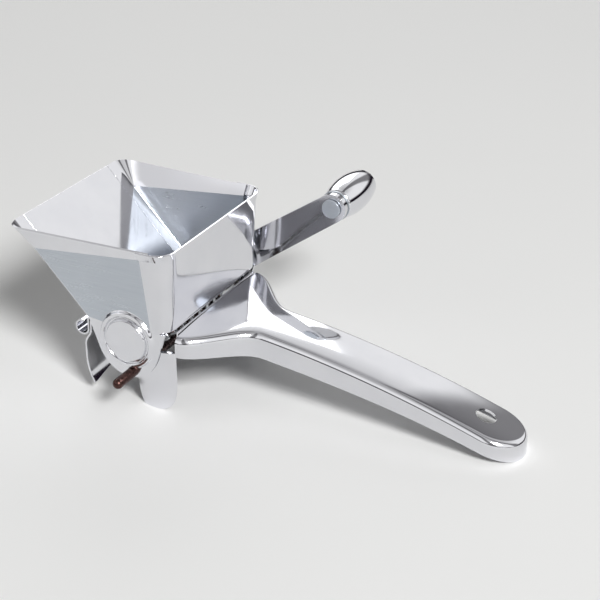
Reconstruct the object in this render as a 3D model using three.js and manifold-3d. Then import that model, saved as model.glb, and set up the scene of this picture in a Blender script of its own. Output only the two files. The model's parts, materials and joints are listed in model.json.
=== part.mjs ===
// Rotary herb cutter: a sheet-steel hopper over a rotor of toothed discs, with a crank and a channel handle.
// Millimetres, +Z up. +X runs along the handle, and the rotor's shaft lies along Y with the crank at +Y.
// Every piece is drawn about the middle of the shaft, and the finished cutter is set down on z = 0.

import * as THREE from 'three';
import { mergeVertices } from 'three/addons/utils/BufferGeometryUtils.js';
import Module from 'manifold-3d';

const wasm = await Module();
wasm.setup();

// Sheet, and the clearances that every fit uses
const sheet = 0.8;
const gap = 0.3;
const runningGap = 0.6;

// Hopper: heights are above the shaft, reaches are from the shaft
const rimHeight = 39.5;
const floorHeight = 6;
const frontRim = 50.4;
const frontFloor = 18.8;
const rearRim = 19.6;
const rearFloor = 17.3;
const halfWidth = 35.5;
const bandFront = 9.2;
const bandRear = 3;
const flareFront = 4.5;
const flareRear = 2;
const frontCorner = 6.5;
const edgeCorner = 1.2;
const rearCorner = 6;
const flangeReach = 5.7;
const flangeTaper = 4;
const lapReach = 1.2;

// Tongues of the end plates, their pressed bosses and the tie rod
const tongueHalf = 14.2;
const tongueDrop = 16.3;
const bossRise = 1.7;
const bossRingRise = 1.2;
const bossGrooveRise = 0.5;
const bossRing = 3.4;
const tieRadius = 2.1;
const tieEdge = 2.5;
const tieAngle = THREE.MathUtils.degToRad(-83);
const tieReach = 12.5;
const tieNutHeight = 3.5;
const tieNutDome = 2.1;
const tieNutRadius = 4.6;

// Curl under the front wall, and the cheek that hangs there
const curlRadius = 3.3;
const curlDrop = 6.2;
const curlTurn = THREE.MathUtils.degToRad(-290);
const cheekDrop = 24.5;
const cheekSwell = 2.9;
const cheekSwellTop = 0.5;
const cheekSwellLow = 7;
const cheekTuck = 3;
const cheekTuckTop = 13;
const cheekLap = 3.3;
const cheekArch = 3;
const cheekPoint = 1.5;

// Feet: convex tabs behind the tongues
const footDrop = 29;
const footLeft = 1.9;
const footRight = 19.6;
const footFlat = 7;
const footFlatLead = 2.6;
const footTop = 3;
const footShoulder = 13;
const footSheet = 1.5;
const footBulge = 18;

// Rotor
const shaftRadius = 4;
const spacerWall = 2.5;
const discCount = 9;
const discSheet = 1.2;
const discTeeth = 6;
const toothDepth = 2.9;
const toothRamp = 0.8;
const collarLength = 3;
const bushWall = 3.9;
const bushProud = 1.7;

// Floor combs
const combSheet = 1.2;
const combTip = THREE.MathUtils.degToRad(20);
const combChamfer = 0.7;

// Crank
const crankLength = 60;
const crankAngle = THREE.MathUtils.degToRad(35);
const crankSheet = 2.5;
const crankHub = 7;
const crankEnd = 6;
const crankClear = 2.5;
const crankSpacerWall = 2;
const studRadius = 3;
const washerSheet = 0.9;
const washerRadius = 6.5;
const nutRadius = 5.6;
const nutHeight = 3;
const nutDome = 4.2;
const studEnd = 1.4;

// Knob
const knobLength = 26;
const knobRadius = 8;
const knobEndRadius = 6.4;
const knobEase = 1.2;
const spindleRadius = 2.4;
const spindleHead = 4;
const spindleCrown = 3;
const spindleHeadHeight = 1;

// Handle: a channel, open underneath
const handleSheet = 1;
const handleLength = 130;
const handleRootHalf = 33.5;
const handleGripHalf = 12.5;
const handleFlare = 26;
const handleCorner = 3;
const handleRootSkirt = 9;
const handleGripSkirt = 11;
const handleTailSkirt = 8;
const handleDip = 0.06;
const handleTailRound = 14;
const tailShare = 0.93;
const tailTrim = 0.5;
const hangHole = 4;
const hangInset = 16;

// Apron behind the rotor, and the rivets that hold the handle to it
const apronSheet = 0.8;
const apronDrop = 6;
const rivetRadius = 1.5;
const rivetHead = 2.8;
const rivetCrown = 2.2;
const rivetHeadHeight = 1;
const rivetDrop = 4.2;
const rivetEdge = 7;
const rivetCount = 4;

// Fineness of the round stretches
const roundSteps = 16;
const cornerSteps = 4;
const handleSteps = 8;
const weld = 1e-4;

// Sizes that follow from the ones above
const slantSpread = Math.hypot(frontRim - frontFloor, rimHeight - floorHeight) / (rimHeight - floorHeight);
const creaseFront = rimHeight - bandFront;
const creaseRear = rimHeight - bandRear;
const innerHalf = halfWidth - sheet;
const seamHalf = halfWidth - frontCorner;
const lapEnd = rearFloor - flangeReach + lapReach;
const tieDistance = tongueDrop - tieEdge;
const tieX = tieDistance * Math.cos(tieAngle);
const tieZ = tieDistance * Math.sin(tieAngle);
const discRadius = tieDistance - tieRadius - runningGap;
const spacerRadius = shaftRadius + spacerWall;
const bushRadius = shaftRadius + gap + bushWall;
const bossDisc = bushRadius + sheet / 2;
const bossRadius = bossDisc + bossRing;
const bushInner = innerHalf - bushProud;
const bushOuter = innerHalf + bossRise - gap;
const stackHalf = bushInner - collarLength - 2 * gap - discSheet / 2;
const discPitch = (2 * stackHalf) / (discCount - 1);
const crankInner = halfWidth + flareFront + crankClear;
const crankOuter = crankInner + crankSheet;
const washerInner = crankOuter + gap;
const washerOuter = washerInner + washerSheet;
const nutInner = washerOuter + gap;
const knobInner = washerOuter + gap;
const knobOuter = knobInner + knobLength;
const cheekOuter = frontFloor - sheet / 2 - gap;
const apronInner = Math.max(rearFloor + gap + sheet, footRight - apronSheet) + gap / 2;
const apronHalf = innerHalf - gap - footBulge + Math.sqrt(footBulge ** 2 - (footRight - footLeft) ** 2 / 4)
  - footSheet - gap;
const handleRoot = apronInner + apronSheet + gap;
const handleTail = handleRoot + handleLength;
const handleTop = floorHeight - sheet;
const tailTop = handleTailSkirt - footDrop - tailTrim;
const handleBend = (handleTop - tailTop - handleDip * handleLength) / handleLength ** 2;
const rivetHeight = handleTop - rivetDrop;
const rivetStep = (2 * (apronHalf - rivetEdge)) / (rivetCount - 1);
const rivetPlaces = Array.from({ length: rivetCount }, (_, i) => rivetEdge - apronHalf + i * rivetStep);
const beyond = frontRim + rimHeight + handleLength;

// Materials
const polishedSteel = new THREE.MeshStandardMaterial({ color: 0xc9ccd0, metalness: 1, roughness: 0.16 });
const satinSteel = new THREE.MeshStandardMaterial({ color: 0xa9adb3, metalness: 1, roughness: 0.38 });
const bladeSteel = new THREE.MeshStandardMaterial({ color: 0xb4b7bb, metalness: 1, roughness: 0.28 });
const darkSteel = new THREE.MeshStandardMaterial({ color: 0x5a4743, metalness: 1, roughness: 0.3 });
const nylon = new THREE.MeshStandardMaterial({ color: 0xe4e2da, metalness: 0, roughness: 0.5 });

// Turns a triangle list so that its faces point out
function facesOut(points, index) {
  const a = new THREE.Vector3();
  const b = new THREE.Vector3();
  const c = new THREE.Vector3();
  let volume = 0;
  for (let i = 0; i < index.length; i += 3) {
    a.fromBufferAttribute(points, index[i]);
    b.fromBufferAttribute(points, index[i + 1]);
    c.fromBufferAttribute(points, index[i + 2]);
    volume += a.dot(b.cross(c));
  }
  return volume < 0 ? index.reverse() : index;
}

// One closed, welded body with its faces out
function closed(source) {
  const bare = new THREE.BufferGeometry();
  bare.setAttribute('position', source.getAttribute('position'));
  bare.setIndex(source.index);
  const welded = mergeVertices(bare, weld);
  const index = [];
  for (let i = 0; i < welded.index.count; i += 3) {
    const corners = [welded.index.getX(i), welded.index.getX(i + 1), welded.index.getX(i + 2)];
    if (new Set(corners).size === 3) index.push(...corners);
  }
  welded.setIndex(facesOut(welded.getAttribute('position'), index));
  return welded;
}

function solid(source) {
  const geometry = closed(source);
  return new wasm.Manifold(new wasm.Mesh({
    numProp: 3,
    vertProperties: new Float32Array(geometry.getAttribute('position').array),
    triVerts: new Uint32Array(geometry.index.array),
  }));
}

function geometryOf(body) {
  const mesh = body.getMesh();
  const geometry = new THREE.BufferGeometry();
  geometry.setAttribute('position', new THREE.BufferAttribute(mesh.vertProperties, mesh.numProp));
  geometry.setIndex(new THREE.BufferAttribute(mesh.triVerts, 1));
  return closed(geometry);
}

function mirrored(geometry) {
  return closed(geometry.clone().scale(1, -1, 1));
}

function named(name, geometry, material) {
  const mesh = new THREE.Mesh(geometry, material);
  mesh.name = name;
  return mesh;
}

function slab(low, high) {
  const size = high.map((value, i) => value - low[i]);
  const middle = high.map((value, i) => (value + low[i]) / 2);
  return solid(new THREE.BoxGeometry(...size).translate(...middle));
}

// Plate drawn in X and Z, from one y to another
function plateAlongY(shape, low, high) {
  const options = { depth: high - low, bevelEnabled: false, curveSegments: cornerSteps };
  return new THREE.ExtrudeGeometry(shape, options).rotateX(Math.PI / 2).translate(0, high, 0);
}

// Plate drawn in Y and Z, from one x to another
function plateAlongX(shape, low, high) {
  const options = { depth: high - low, bevelEnabled: false, curveSegments: cornerSteps };
  const turn = new THREE.Matrix4().makeBasis(
    new THREE.Vector3(0, 1, 0), new THREE.Vector3(0, 0, 1), new THREE.Vector3(1, 0, 0));
  return new THREE.ExtrudeGeometry(shape, options).applyMatrix4(turn).translate(low, 0, 0);
}

// Body turned about the Y axis; each profile point is a radius and a y
function turned(profile) {
  const points = profile.map(([radius, y]) => new THREE.Vector2(radius, y));
  return new THREE.LatheGeometry(points, roundSteps);
}

function ring(innerRadius, outerRadius, low, high) {
  const profile = [[innerRadius, low], [outerRadius, low], [outerRadius, high], [innerRadius, high]];
  return closed(turned([...profile, profile[0]]));
}

// Round bar along Y through (x, z), to cut holes or to add pegs
function barAlongY(radius, low, high, x, z) {
  const bar = new THREE.CylinderGeometry(radius, radius, high - low, roundSteps);
  return solid(bar.translate(x, (low + high) / 2, z));
}

function barAlongX(radius, low, high, y, z) {
  const bar = new THREE.CylinderGeometry(radius, radius, high - low, roundSteps).rotateZ(Math.PI / 2);
  return solid(bar.translate((low + high) / 2, y, z));
}

// Skin over rows of points. Each row is a closed loop, and the rows either wrap round or get end caps
function skin(rows, wrapped) {
  const count = rows[0].length;
  const positions = rows.flat().flatMap((point) => point.toArray());
  const index = [];
  const lastRow = wrapped ? rows.length : rows.length - 1;
  for (let r = 0; r < lastRow; r += 1) {
    const here = r * count;
    const next = ((r + 1) % rows.length) * count;
    for (let i = 0; i < count; i += 1) {
      const j = (i + 1) % count;
      index.push(here + i, here + j, next + j, here + i, next + j, next + i);
    }
  }
  if (!wrapped) {
    const start = capOf(rows[0]);
    const end = capOf(rows[rows.length - 1]).map((i) => i + (rows.length - 1) * count);
    index.push(...start.reverse(), ...end);
  }
  const geometry = new THREE.BufferGeometry();
  geometry.setAttribute('position', new THREE.Float32BufferAttribute(positions, 3));
  geometry.setIndex(index);
  return geometry;
}

// Triangles of a row that faces along X, turned the same way as the row runs
function capOf(row) {
  const outline = row.map((point) => new THREE.Vector2(point.y, point.z));
  const clockwise = THREE.ShapeUtils.isClockWise(outline);
  const triangles = THREE.ShapeUtils.triangulateShape(outline, []);
  return triangles.flatMap((triangle) => {
    const same = THREE.ShapeUtils.isClockWise(triangle.map((i) => outline[i])) === clockwise;
    return same ? triangle : [...triangle].reverse();
  });
}

// Strip of sheet that follows a line drawn in X and Z, with the sheet laid half on each side
function stripAlong(line, thickness) {
  const sides = line.map((point, i) => {
    const before = line[Math.max(i - 1, 0)];
    const after = line[Math.min(i + 1, line.length - 1)];
    const along = after.clone().sub(before).normalize();
    return new THREE.Vector2(-along.y, along.x).multiplyScalar(thickness / 2);
  });
  const left = line.map((point, i) => point.clone().add(sides[i]));
  const right = line.map((point, i) => point.clone().sub(sides[i]));
  return new THREE.Shape([...left, ...right.reverse()]);
}

// Hopper walls

function frontAt(z) {
  return -THREE.MathUtils.mapLinear(z, floorHeight, rimHeight, frontFloor, frontRim);
}

function rearAt(z) {
  return THREE.MathUtils.mapLinear(z, floorHeight, rimHeight, rearFloor, rearRim);
}

// The end walls stand upright below their crease and lean out above it
function halfAt(z, crease, flare) {
  return halfWidth + flare * Math.max(0, (z - crease) / (rimHeight - crease));
}

// Rounded loop round the hopper, at one height in front and another behind, set out from the outer face
function hopperLoop(frontZ, rearZ, offset) {
  const front = frontAt(frontZ) - offset * slantSpread;
  const rear = rearAt(rearZ) + offset;
  const frontHalf = halfAt(frontZ, creaseFront, flareFront) + offset;
  const rearHalf = halfAt(rearZ, creaseRear, flareRear) + offset;
  const frontBend = (frontZ > creaseFront ? frontCorner : edgeCorner) + offset;
  const rearBend = rearCorner + offset;
  const path = new THREE.Path();
  path.moveTo(front, frontHalf - frontBend);
  path.lineTo(front, -frontHalf + frontBend);
  path.quadraticCurveTo(front, -frontHalf, front + frontBend, -frontHalf);
  path.lineTo(rear - rearBend, -rearHalf);
  path.quadraticCurveTo(rear, -rearHalf, rear, -rearHalf + rearBend);
  path.lineTo(rear, rearHalf - rearBend);
  path.quadraticCurveTo(rear, rearHalf, rear - rearBend, rearHalf);
  path.lineTo(front + frontBend, frontHalf);
  path.quadraticCurveTo(front, frontHalf, front, frontHalf - frontBend);
  const points = path.getPoints(cornerSteps).slice(0, -1);
  return points.map((point) => {
    const z = THREE.MathUtils.mapLinear(point.x, front, rear, frontZ, rearZ);
    return new THREE.Vector3(point.x, point.y, z);
  });
}

// Wall of the hopper between two offsets from its outer face, all the way round
function hopperShell(outer, inner) {
  const heights = [[floorHeight, floorHeight], [creaseFront, creaseRear], [rimHeight, rimHeight]];
  const outside = heights.map(([front, rear]) => hopperLoop(front, rear, outer));
  const inside = heights.map(([front, rear]) => hopperLoop(front, rear, inner)).reverse();
  return solid(skin([...outside, ...inside], true));
}

// Outline of the tongue: from the hopper's lower corners, tangent to an ellipse round the shaft. Behind the
// end plate's own edge it stays under the rear wall's flange
function tongueShape() {
  const top = floorHeight + sheet;
  const rearTop = floorHeight - gap;
  const rear = new THREE.Vector2(rearFloor / tongueHalf, rearTop / tongueDrop);
  const front = new THREE.Vector2(-frontFloor / tongueHalf, top / tongueDrop);
  const rearTangent = Math.atan2(rear.y, rear.x) - Math.acos(Math.min(1, 1 / rear.length()));
  const frontTangent = Math.atan2(front.y, front.x) + Math.acos(Math.min(1, 1 / front.length()));
  const shape = new THREE.Shape();
  shape.moveTo(-frontFloor, top);
  shape.lineTo(lapEnd, top);
  shape.lineTo(lapEnd, rearTop);
  shape.lineTo(rearFloor, rearTop);
  const arc = new THREE.Path().absellipse(0, 0, tongueHalf, tongueDrop, rearTangent, frontTangent, true);
  arc.getPoints(roundSteps).forEach((point) => shape.lineTo(point.x, point.y));
  return shape;
}

// Pressed boss: a raised disc, a groove and a raised ring, in sheet of even thickness
function bossProfile(startRadius) {
  const slope = sheet / 2;
  const groove = bossRing / 4;
  const outside = [
    [startRadius, bossRise],
    [bossDisc, bossRise],
    [bossDisc + slope, bossGrooveRise],
    [bossDisc + slope + groove / 2, bossGrooveRise],
    [bossDisc + slope + groove, bossRingRise],
    [bossRadius - slope, bossRingRise],
    [bossRadius + slope, 0],
  ];
  const inside = outside.map(([radius, rise]) => [radius, rise - sheet]).reverse();
  return [...outside, ...inside].map(([radius, rise]) => [radius, -halfWidth - rise]);
}

// End plate at the near end: the flared trapezoid, the tongue, the boss and the hole for the tie rod
function nearEndPlate(bossHole) {
  const profile = bossProfile(bossHole);
  const boss = bossHole > 0 ? [...profile, profile[0]] : profile;
  const wall = hopperShell(0, -sheet).intersect(
    slab([-beyond, -beyond, -beyond], [lapEnd, -seamHalf - gap / 2, beyond]));
  const tongue = solid(plateAlongY(tongueShape(), -halfWidth, -innerHalf));
  const seat = barAlongY(bossRadius + sheet / 4, -beyond, -innerHalf + gap, 0, 0);
  const tieHole = barAlongY(tieRadius + gap, -beyond, 0, tieX, tieZ);
  return geometryOf(wall.add(tongue).subtract(seat).add(solid(turned(boss))).subtract(tieHole));
}

// Front wall: the sloping sheet, its turned-down neck and the curl
function slantWall() {
  const reach = seamHalf - gap / 2;
  const wall = hopperShell(0, -sheet).intersect(slab([-beyond, -reach, -beyond], [0, reach, beyond]));
  const neckX = -frontFloor;
  const curlZ = floorHeight - curlDrop;
  const joinZ = floorHeight + sheet;
  const neckTop = new THREE.Vector2(frontAt(joinZ) + (slantSpread * sheet) / 2, joinZ);
  const neckLow = new THREE.Vector2(neckX, floorHeight - 2 * sheet);
  const neckEnd = new THREE.Vector2(neckX, curlZ);
  const neck = solid(plateAlongY(stripAlong([neckTop, neckLow, neckEnd], sheet), -reach, reach));
  const bend = curlRadius - sheet / 2;
  const roll = new THREE.Path().absarc(neckX - bend, curlZ, bend, 0, curlTurn, true);
  const line = [neckLow, ...roll.getPoints(roundSteps)];
  const curlHalf = innerHalf - gap;
  const curl = solid(plateAlongY(stripAlong(line, sheet), -curlHalf, curlHalf));
  return geometryOf(wall.add(neck).add(curl));
}

// Rear wall: upright sheet with rounded corners, and flanges that lap the end plates and clear the bosses
function rearWall() {
  const shell = hopperShell(gap + sheet, gap);
  const edge = new THREE.Shape();
  edge.moveTo(rearFloor - flangeReach, floorHeight - sheet);
  edge.lineTo(beyond, floorHeight - sheet);
  edge.lineTo(beyond, rimHeight + sheet);
  edge.lineTo(rearFloor - flangeReach - flangeTaper, rimHeight + sheet);
  const behind = solid(plateAlongY(edge, -beyond, beyond));
  const relief = barAlongY(bossRadius + sheet / 2 + gap, -beyond, beyond, 0, 0);
  return geometryOf(shell.intersect(behind).subtract(relief));
}

// Floor, cheek, apron and feet

// Slotted plate that slopes from a hopper wall down to the spacers, with its outer corners cut off to pass
// the wall's bends; side is -1 in front and 1 behind
function comb(side, outerReach, corner) {
  const outer = new THREE.Vector2(side * outerReach, floorHeight);
  const tipRadius = spacerRadius + runningGap;
  const tip = new THREE.Vector2(side * tipRadius * Math.cos(combTip), tipRadius * Math.sin(combTip));
  const along = tip.clone().sub(outer);
  const length = along.length();
  along.normalize();
  const slotRadius = discRadius + runningGap;
  const nearest = -outer.dot(along);
  const slotStart = nearest - Math.sqrt(slotRadius ** 2 - outer.lengthSq() + nearest ** 2);
  const half = innerHalf - gap;
  const slotHalf = discSheet / 2 + runningGap;
  const tipHalf = bushInner - gap;
  const shape = new THREE.Shape();
  shape.moveTo(0, -half + corner);
  shape.lineTo(corner, -half);
  shape.lineTo(slotStart, -half);
  shape.lineTo(slotStart, -tipHalf);
  shape.lineTo(length, -tipHalf);
  for (let i = 0; i < discCount; i += 1) {
    const y = -stackHalf + i * discPitch;
    shape.lineTo(length, y - slotHalf);
    shape.lineTo(slotStart, y - slotHalf);
    shape.lineTo(slotStart, y + slotHalf);
    shape.lineTo(length, y + slotHalf);
  }
  shape.lineTo(length, tipHalf);
  shape.lineTo(slotStart, tipHalf);
  shape.lineTo(slotStart, half);
  shape.lineTo(corner, half);
  shape.lineTo(0, half - corner);
  const u = new THREE.Vector3(along.x, 0, along.y);
  const v = new THREE.Vector3(0, 1, 0);
  const down = new THREE.Vector3().crossVectors(u, v).multiplyScalar(-side);
  const place = new THREE.Matrix4().makeBasis(u, v, down).setPosition(outer.x, 0, outer.y);
  const options = { depth: combSheet, bevelEnabled: false };
  return closed(new THREE.ExtrudeGeometry(shape, options).applyMatrix4(place));
}

// Place of the cheek's middle line at a height: straight at its lap, swollen under the curl, tucked in at its foot
function cheekLineAt(z) {
  const swell = cheekSwell * THREE.MathUtils.smoothstep(-z, cheekSwellTop, cheekSwellLow);
  const tuck = cheekTuck * Math.max(0, (-z - cheekTuckTop) / (cheekDrop - cheekTuckTop)) ** 2;
  return -cheekOuter + sheet / 2 - swell + tuck;
}

// Cheek: a swelling sheet with an arched lower edge that leaves a point at each end
function frontCheek() {
  const line = Array.from({ length: roundSteps + 1 }, (_, i) => {
    const z = THREE.MathUtils.lerp(cheekLap, -cheekDrop, i / roundSteps);
    return new THREE.Vector2(cheekLineAt(z), z);
  });
  const half = innerHalf - gap;
  const body = solid(plateAlongY(stripAlong(line, sheet), -half, half));
  const arch = new THREE.Shape();
  arch.moveTo(cheekPoint - half, -cheekDrop - cheekArch);
  arch.lineTo(cheekPoint - half, -cheekDrop);
  arch.quadraticCurveTo(0, 2 * cheekArch - cheekDrop, half - cheekPoint, -cheekDrop);
  arch.lineTo(half - cheekPoint, -cheekDrop - cheekArch);
  const cut = solid(plateAlongX(new THREE.Shape(arch.getPoints(roundSteps)), -beyond, 0));
  const trim = slab([-beyond, -beyond, -beyond], [0, beyond, -cheekDrop]);
  return geometryOf(body.subtract(cut).subtract(trim));
}

// Outline of a foot: a thumb with a flat tip, hollowed round the bush
function footShape() {
  const clear = bushRadius + runningGap;
  const flatLeft = footLeft + footFlatLead;
  const flatRight = flatLeft + footFlat;
  const shoulder = footShoulder - footDrop;
  const hollowStart = -Math.asin(footTop / clear);
  const hollowEnd = -Math.acos(footLeft / clear);
  const hollow = new THREE.Path().absarc(0, 0, clear, hollowStart, hollowEnd, true);
  const shape = new THREE.Shape();
  shape.moveTo(flatLeft, -footDrop);
  shape.lineTo(flatRight, -footDrop);
  shape.quadraticCurveTo(footRight, -footDrop, footRight, shoulder);
  shape.lineTo(footRight, -footTop);
  hollow.getPoints(cornerSteps * 2).forEach((point) => shape.lineTo(point.x, point.y));
  shape.lineTo(footLeft, shoulder);
  shape.quadraticCurveTo(footLeft, -footDrop, flatLeft, -footDrop);
  return new THREE.Shape(shape.getPoints(cornerSteps * 2));
}

// Foot at the near end: the thumb, bowed out towards the tongue
function nearFoot() {
  const face = -innerHalf + gap;
  const axisX = (footLeft + footRight) / 2;
  const bow = (radius) => solid(new THREE.CylinderGeometry(radius, radius, beyond, 3 * roundSteps)
    .rotateX(Math.PI / 2).translate(axisX, face + footBulge, 0));
  const thumb = solid(plateAlongY(footShape(), face - gap, face + footBulge / 2));
  const tieHole = barAlongY(tieRadius + gap, -beyond, 0, tieX, tieZ);
  return geometryOf(bow(footBulge).subtract(bow(footBulge - footSheet)).intersect(thumb).subtract(tieHole));
}

function rearApron() {
  const shape = new THREE.Shape();
  const top = floorHeight - gap - sheet / 2;
  shape.moveTo(-apronHalf, -apronDrop);
  shape.lineTo(apronHalf, -apronDrop);
  shape.lineTo(apronHalf, top);
  shape.lineTo(-apronHalf, top);
  let body = solid(plateAlongX(shape, apronInner, apronInner + apronSheet));
  for (const y of rivetPlaces) {
    body = body.subtract(barAlongX(rivetRadius + gap, apronInner - gap, handleRoot, y, rivetHeight));
  }
  return geometryOf(body);
}

// Handle

// Half width of the channel: flared at the root, rounded off at the tail
function handleHalfAt(distance) {
  const flare = 1 - THREE.MathUtils.smoothstep(distance, 0, handleFlare);
  const body = handleGripHalf + (handleRootHalf - handleGripHalf) * flare;
  const past = Math.max(0, distance - (handleLength - handleTailRound)) / handleTailRound;
  return body * Math.sqrt(1 - (past * tailShare) ** 2);
}

function handleSkirtAt(distance) {
  const grown = THREE.MathUtils.smoothstep(distance, 0, handleFlare);
  const shrunk = THREE.MathUtils.smoothstep(distance, handleFlare, handleLength);
  const grip = THREE.MathUtils.lerp(handleRootSkirt, handleGripSkirt, grown);
  return THREE.MathUtils.lerp(grip, handleTailSkirt, shrunk);
}

function handleTopAt(distance) {
  return handleTop - handleDip * distance - handleBend * distance ** 2;
}

// Outside or inside of the channel's section, from one lower edge over the top to the other
function channelLine(distance, inset) {
  const half = handleHalfAt(distance) - inset;
  const top = handleTopAt(distance) - inset;
  const low = handleTopAt(distance) - handleSkirtAt(distance);
  const corner = handleCorner - inset;
  const path = new THREE.Path();
  path.moveTo(-half, low);
  path.lineTo(-half, top - corner);
  path.quadraticCurveTo(-half, top, -half + corner, top);
  path.lineTo(half - corner, top);
  path.quadraticCurveTo(half, top, half, top - corner);
  path.lineTo(half, low);
  return path.getPoints(cornerSteps);
}

// Distances along the handle at which its section is drawn: close together where its width changes
function handleStations() {
  const tailStart = handleLength - handleTailRound;
  const spread = (start, end) => Array.from(
    { length: handleSteps }, (_, i) => start + ((end - start) * i) / handleSteps);
  const tail = spread(0, Math.PI / 2).map((turn) => tailStart + handleTailRound * Math.sin(turn));
  return [...spread(0, handleFlare), ...spread(handleFlare, tailStart), ...tail, handleLength];
}

function handleShell() {
  const rows = handleStations().map((distance) => {
    const section = [...channelLine(distance, 0), ...channelLine(distance, handleSheet).reverse()];
    return section.map((point) => new THREE.Vector3(handleRoot + distance, point.x, point.y));
  });
  const endPlate = (distance, low) => solid(plateAlongX(
    new THREE.Shape(channelLine(distance, 0)), low, low + handleSheet));
  const hole = solid(new THREE.CylinderGeometry(hangHole, hangHole, beyond, roundSteps)
    .rotateX(Math.PI / 2).translate(handleTail - hangInset, 0, 0));
  const table = slab([0, -beyond, -beyond], [2 * handleTail, beyond, -footDrop]);
  const ends = endPlate(0, handleRoot).add(endPlate(handleLength, handleTail - handleSheet));
  let body = solid(skin(rows, false)).add(ends);
  for (const y of rivetPlaces) {
    const past = handleRoot + 2 * handleSheet;
    body = body.subtract(barAlongX(rivetRadius + gap, handleRoot - gap, past, y, rivetHeight));
  }
  return geometryOf(body.subtract(hole).subtract(table));
}

// Rivet along X through the apron and the handle's root: a flat head inside and a domed one outside
function handleRivet() {
  const inside = apronInner - gap;
  const outside = handleRoot + handleSheet + gap;
  return closed(turned([
    [0, inside - rivetHeadHeight],
    [rivetHead, inside - rivetHeadHeight],
    [rivetHead, inside],
    [rivetRadius, inside],
    [rivetRadius, outside],
    [rivetHead, outside],
    [rivetCrown, outside + rivetHeadHeight * 0.7],
    [0, outside + rivetHeadHeight],
  ]).rotateZ(-Math.PI / 2));
}

// Rotor

// Star disc with hooked teeth: each tooth climbs along a curve and drops back steeply
function cutterDisc() {
  const step = (2 * Math.PI) / discTeeth;
  const rootRadius = discRadius - toothDepth;
  const at = (radius, angle) => [radius * Math.cos(angle), radius * Math.sin(angle)];
  const shape = new THREE.Shape();
  shape.moveTo(...at(rootRadius, 0));
  for (let i = 0; i < discTeeth; i += 1) {
    const start = i * step;
    const tip = start + step * toothRamp;
    shape.quadraticCurveTo(...at(rootRadius, start + (step * toothRamp) / 2), ...at(discRadius, tip));
    shape.lineTo(...at(rootRadius, start + step));
  }
  const outline = new THREE.Shape(shape.getPoints(cornerSteps).slice(0, -1));
  const bore = new THREE.Path().absarc(0, 0, shaftRadius + gap, 0, 2 * Math.PI, true);
  outline.holes.push(new THREE.Path(bore.getPoints(roundSteps).slice(0, -1)));
  return closed(plateAlongY(outline, -discSheet / 2, discSheet / 2));
}

function rotorShaft() {
  const shoulder = crankInner - gap;
  const end = nutInner + nutHeight + studEnd;
  return closed(turned([
    [0, -bushOuter + gap],
    [shaftRadius, -bushOuter + gap],
    [shaftRadius, shoulder],
    [studRadius, shoulder],
    [studRadius, end],
    [0, end],
  ]));
}

// Crank and knob, drawn with the arm along +X

function crankArm() {
  const lean = Math.asin((crankHub - crankEnd) / crankLength);
  const side = Math.PI / 2 - lean;
  const hub = new THREE.Path().absarc(0, 0, crankHub, side, -side, false);
  const end = new THREE.Path().absarc(crankLength, 0, crankEnd, -side, side, false);
  const outline = new THREE.Shape([...hub.getPoints(roundSteps), ...end.getPoints(roundSteps)]);
  const plate = solid(plateAlongY(outline, crankInner, crankOuter));
  const hubHole = barAlongY(studRadius + gap, 0, beyond, 0, 0);
  const endHole = barAlongY(spindleRadius + gap, 0, beyond, crankLength, 0);
  return geometryOf(plate.subtract(hubHole).subtract(endHole));
}

// Domed six-sided nut along Y, from y = 0, with a blind hole
function domedNut(height, dome, radius, boreRadius, boreDepth) {
  const hex = solid(new THREE.CylinderGeometry(radius, radius, height, 6).translate(0, height / 2, 0));
  const shoulder = radius * Math.cos(Math.PI / 6);
  const round = new THREE.Path().absellipse(0, 0, shoulder, dome, 0, Math.PI / 2).getPoints(cornerSteps);
  const cap = turned([[0, 0], ...round.map((point) => point.toArray())]);
  const top = solid(cap.translate(0, height - gap / 2, 0));
  return geometryOf(hex.add(top).subtract(barAlongY(boreRadius, -gap, boreDepth, 0, 0)));
}

function knobSpindle() {
  const innerHead = crankInner - gap;
  const outerHead = knobOuter + gap;
  return closed(turned([
    [0, innerHead - spindleHeadHeight],
    [spindleHead, innerHead - spindleHeadHeight],
    [spindleHead, innerHead],
    [spindleRadius, innerHead],
    [spindleRadius, outerHead],
    [spindleHead, outerHead],
    [spindleCrown, outerHead + spindleHeadHeight],
    [0, outerHead + spindleHeadHeight],
  ]));
}

// Barrel-shaped knob with eased ends and a bore for the spindle
function crankKnob() {
  const bore = spindleRadius + gap;
  const middle = (knobInner + knobOuter) / 2;
  const barrel = new THREE.QuadraticBezierCurve(
    new THREE.Vector2(knobEndRadius, knobInner + knobEase),
    new THREE.Vector2(2 * knobRadius - knobEndRadius, middle),
    new THREE.Vector2(knobEndRadius, knobOuter - knobEase));
  const side = barrel.getPoints(roundSteps / 2).map((point) => [point.x, point.y]);
  const start = [bore, knobInner];
  return closed(turned([
    start,
    [knobEndRadius - knobEase, knobInner],
    ...side,
    [knobEndRadius - knobEase, knobOuter],
    [bore, knobOuter],
    start,
  ]));
}

// Assembly

const cutter = new THREE.Group();

const nearPlate = named('near_end_plate', nearEndPlate(0), satinSteel);
const farPlate = named('far_end_plate', mirrored(nearEndPlate(shaftRadius + runningGap)), satinSteel);
cutter.add(nearPlate, farPlate);
cutter.add(named('slant_wall', slantWall(), polishedSteel));
cutter.add(named('rear_wall', rearWall(), polishedSteel));
const frontReach = frontFloor - slantSpread * sheet - 2 * gap;
cutter.add(named('front_comb', comb(-1, frontReach, combChamfer * edgeCorner), bladeSteel));
cutter.add(named('rear_comb', comb(1, rearFloor - gap, combChamfer * rearCorner), bladeSteel));
cutter.add(named('front_cheek', frontCheek(), polishedSteel));
cutter.add(named('rear_apron', rearApron(), polishedSteel));
cutter.add(named('near_foot', nearFoot(), polishedSteel));
cutter.add(named('far_foot', mirrored(nearFoot()), polishedSteel));

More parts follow.
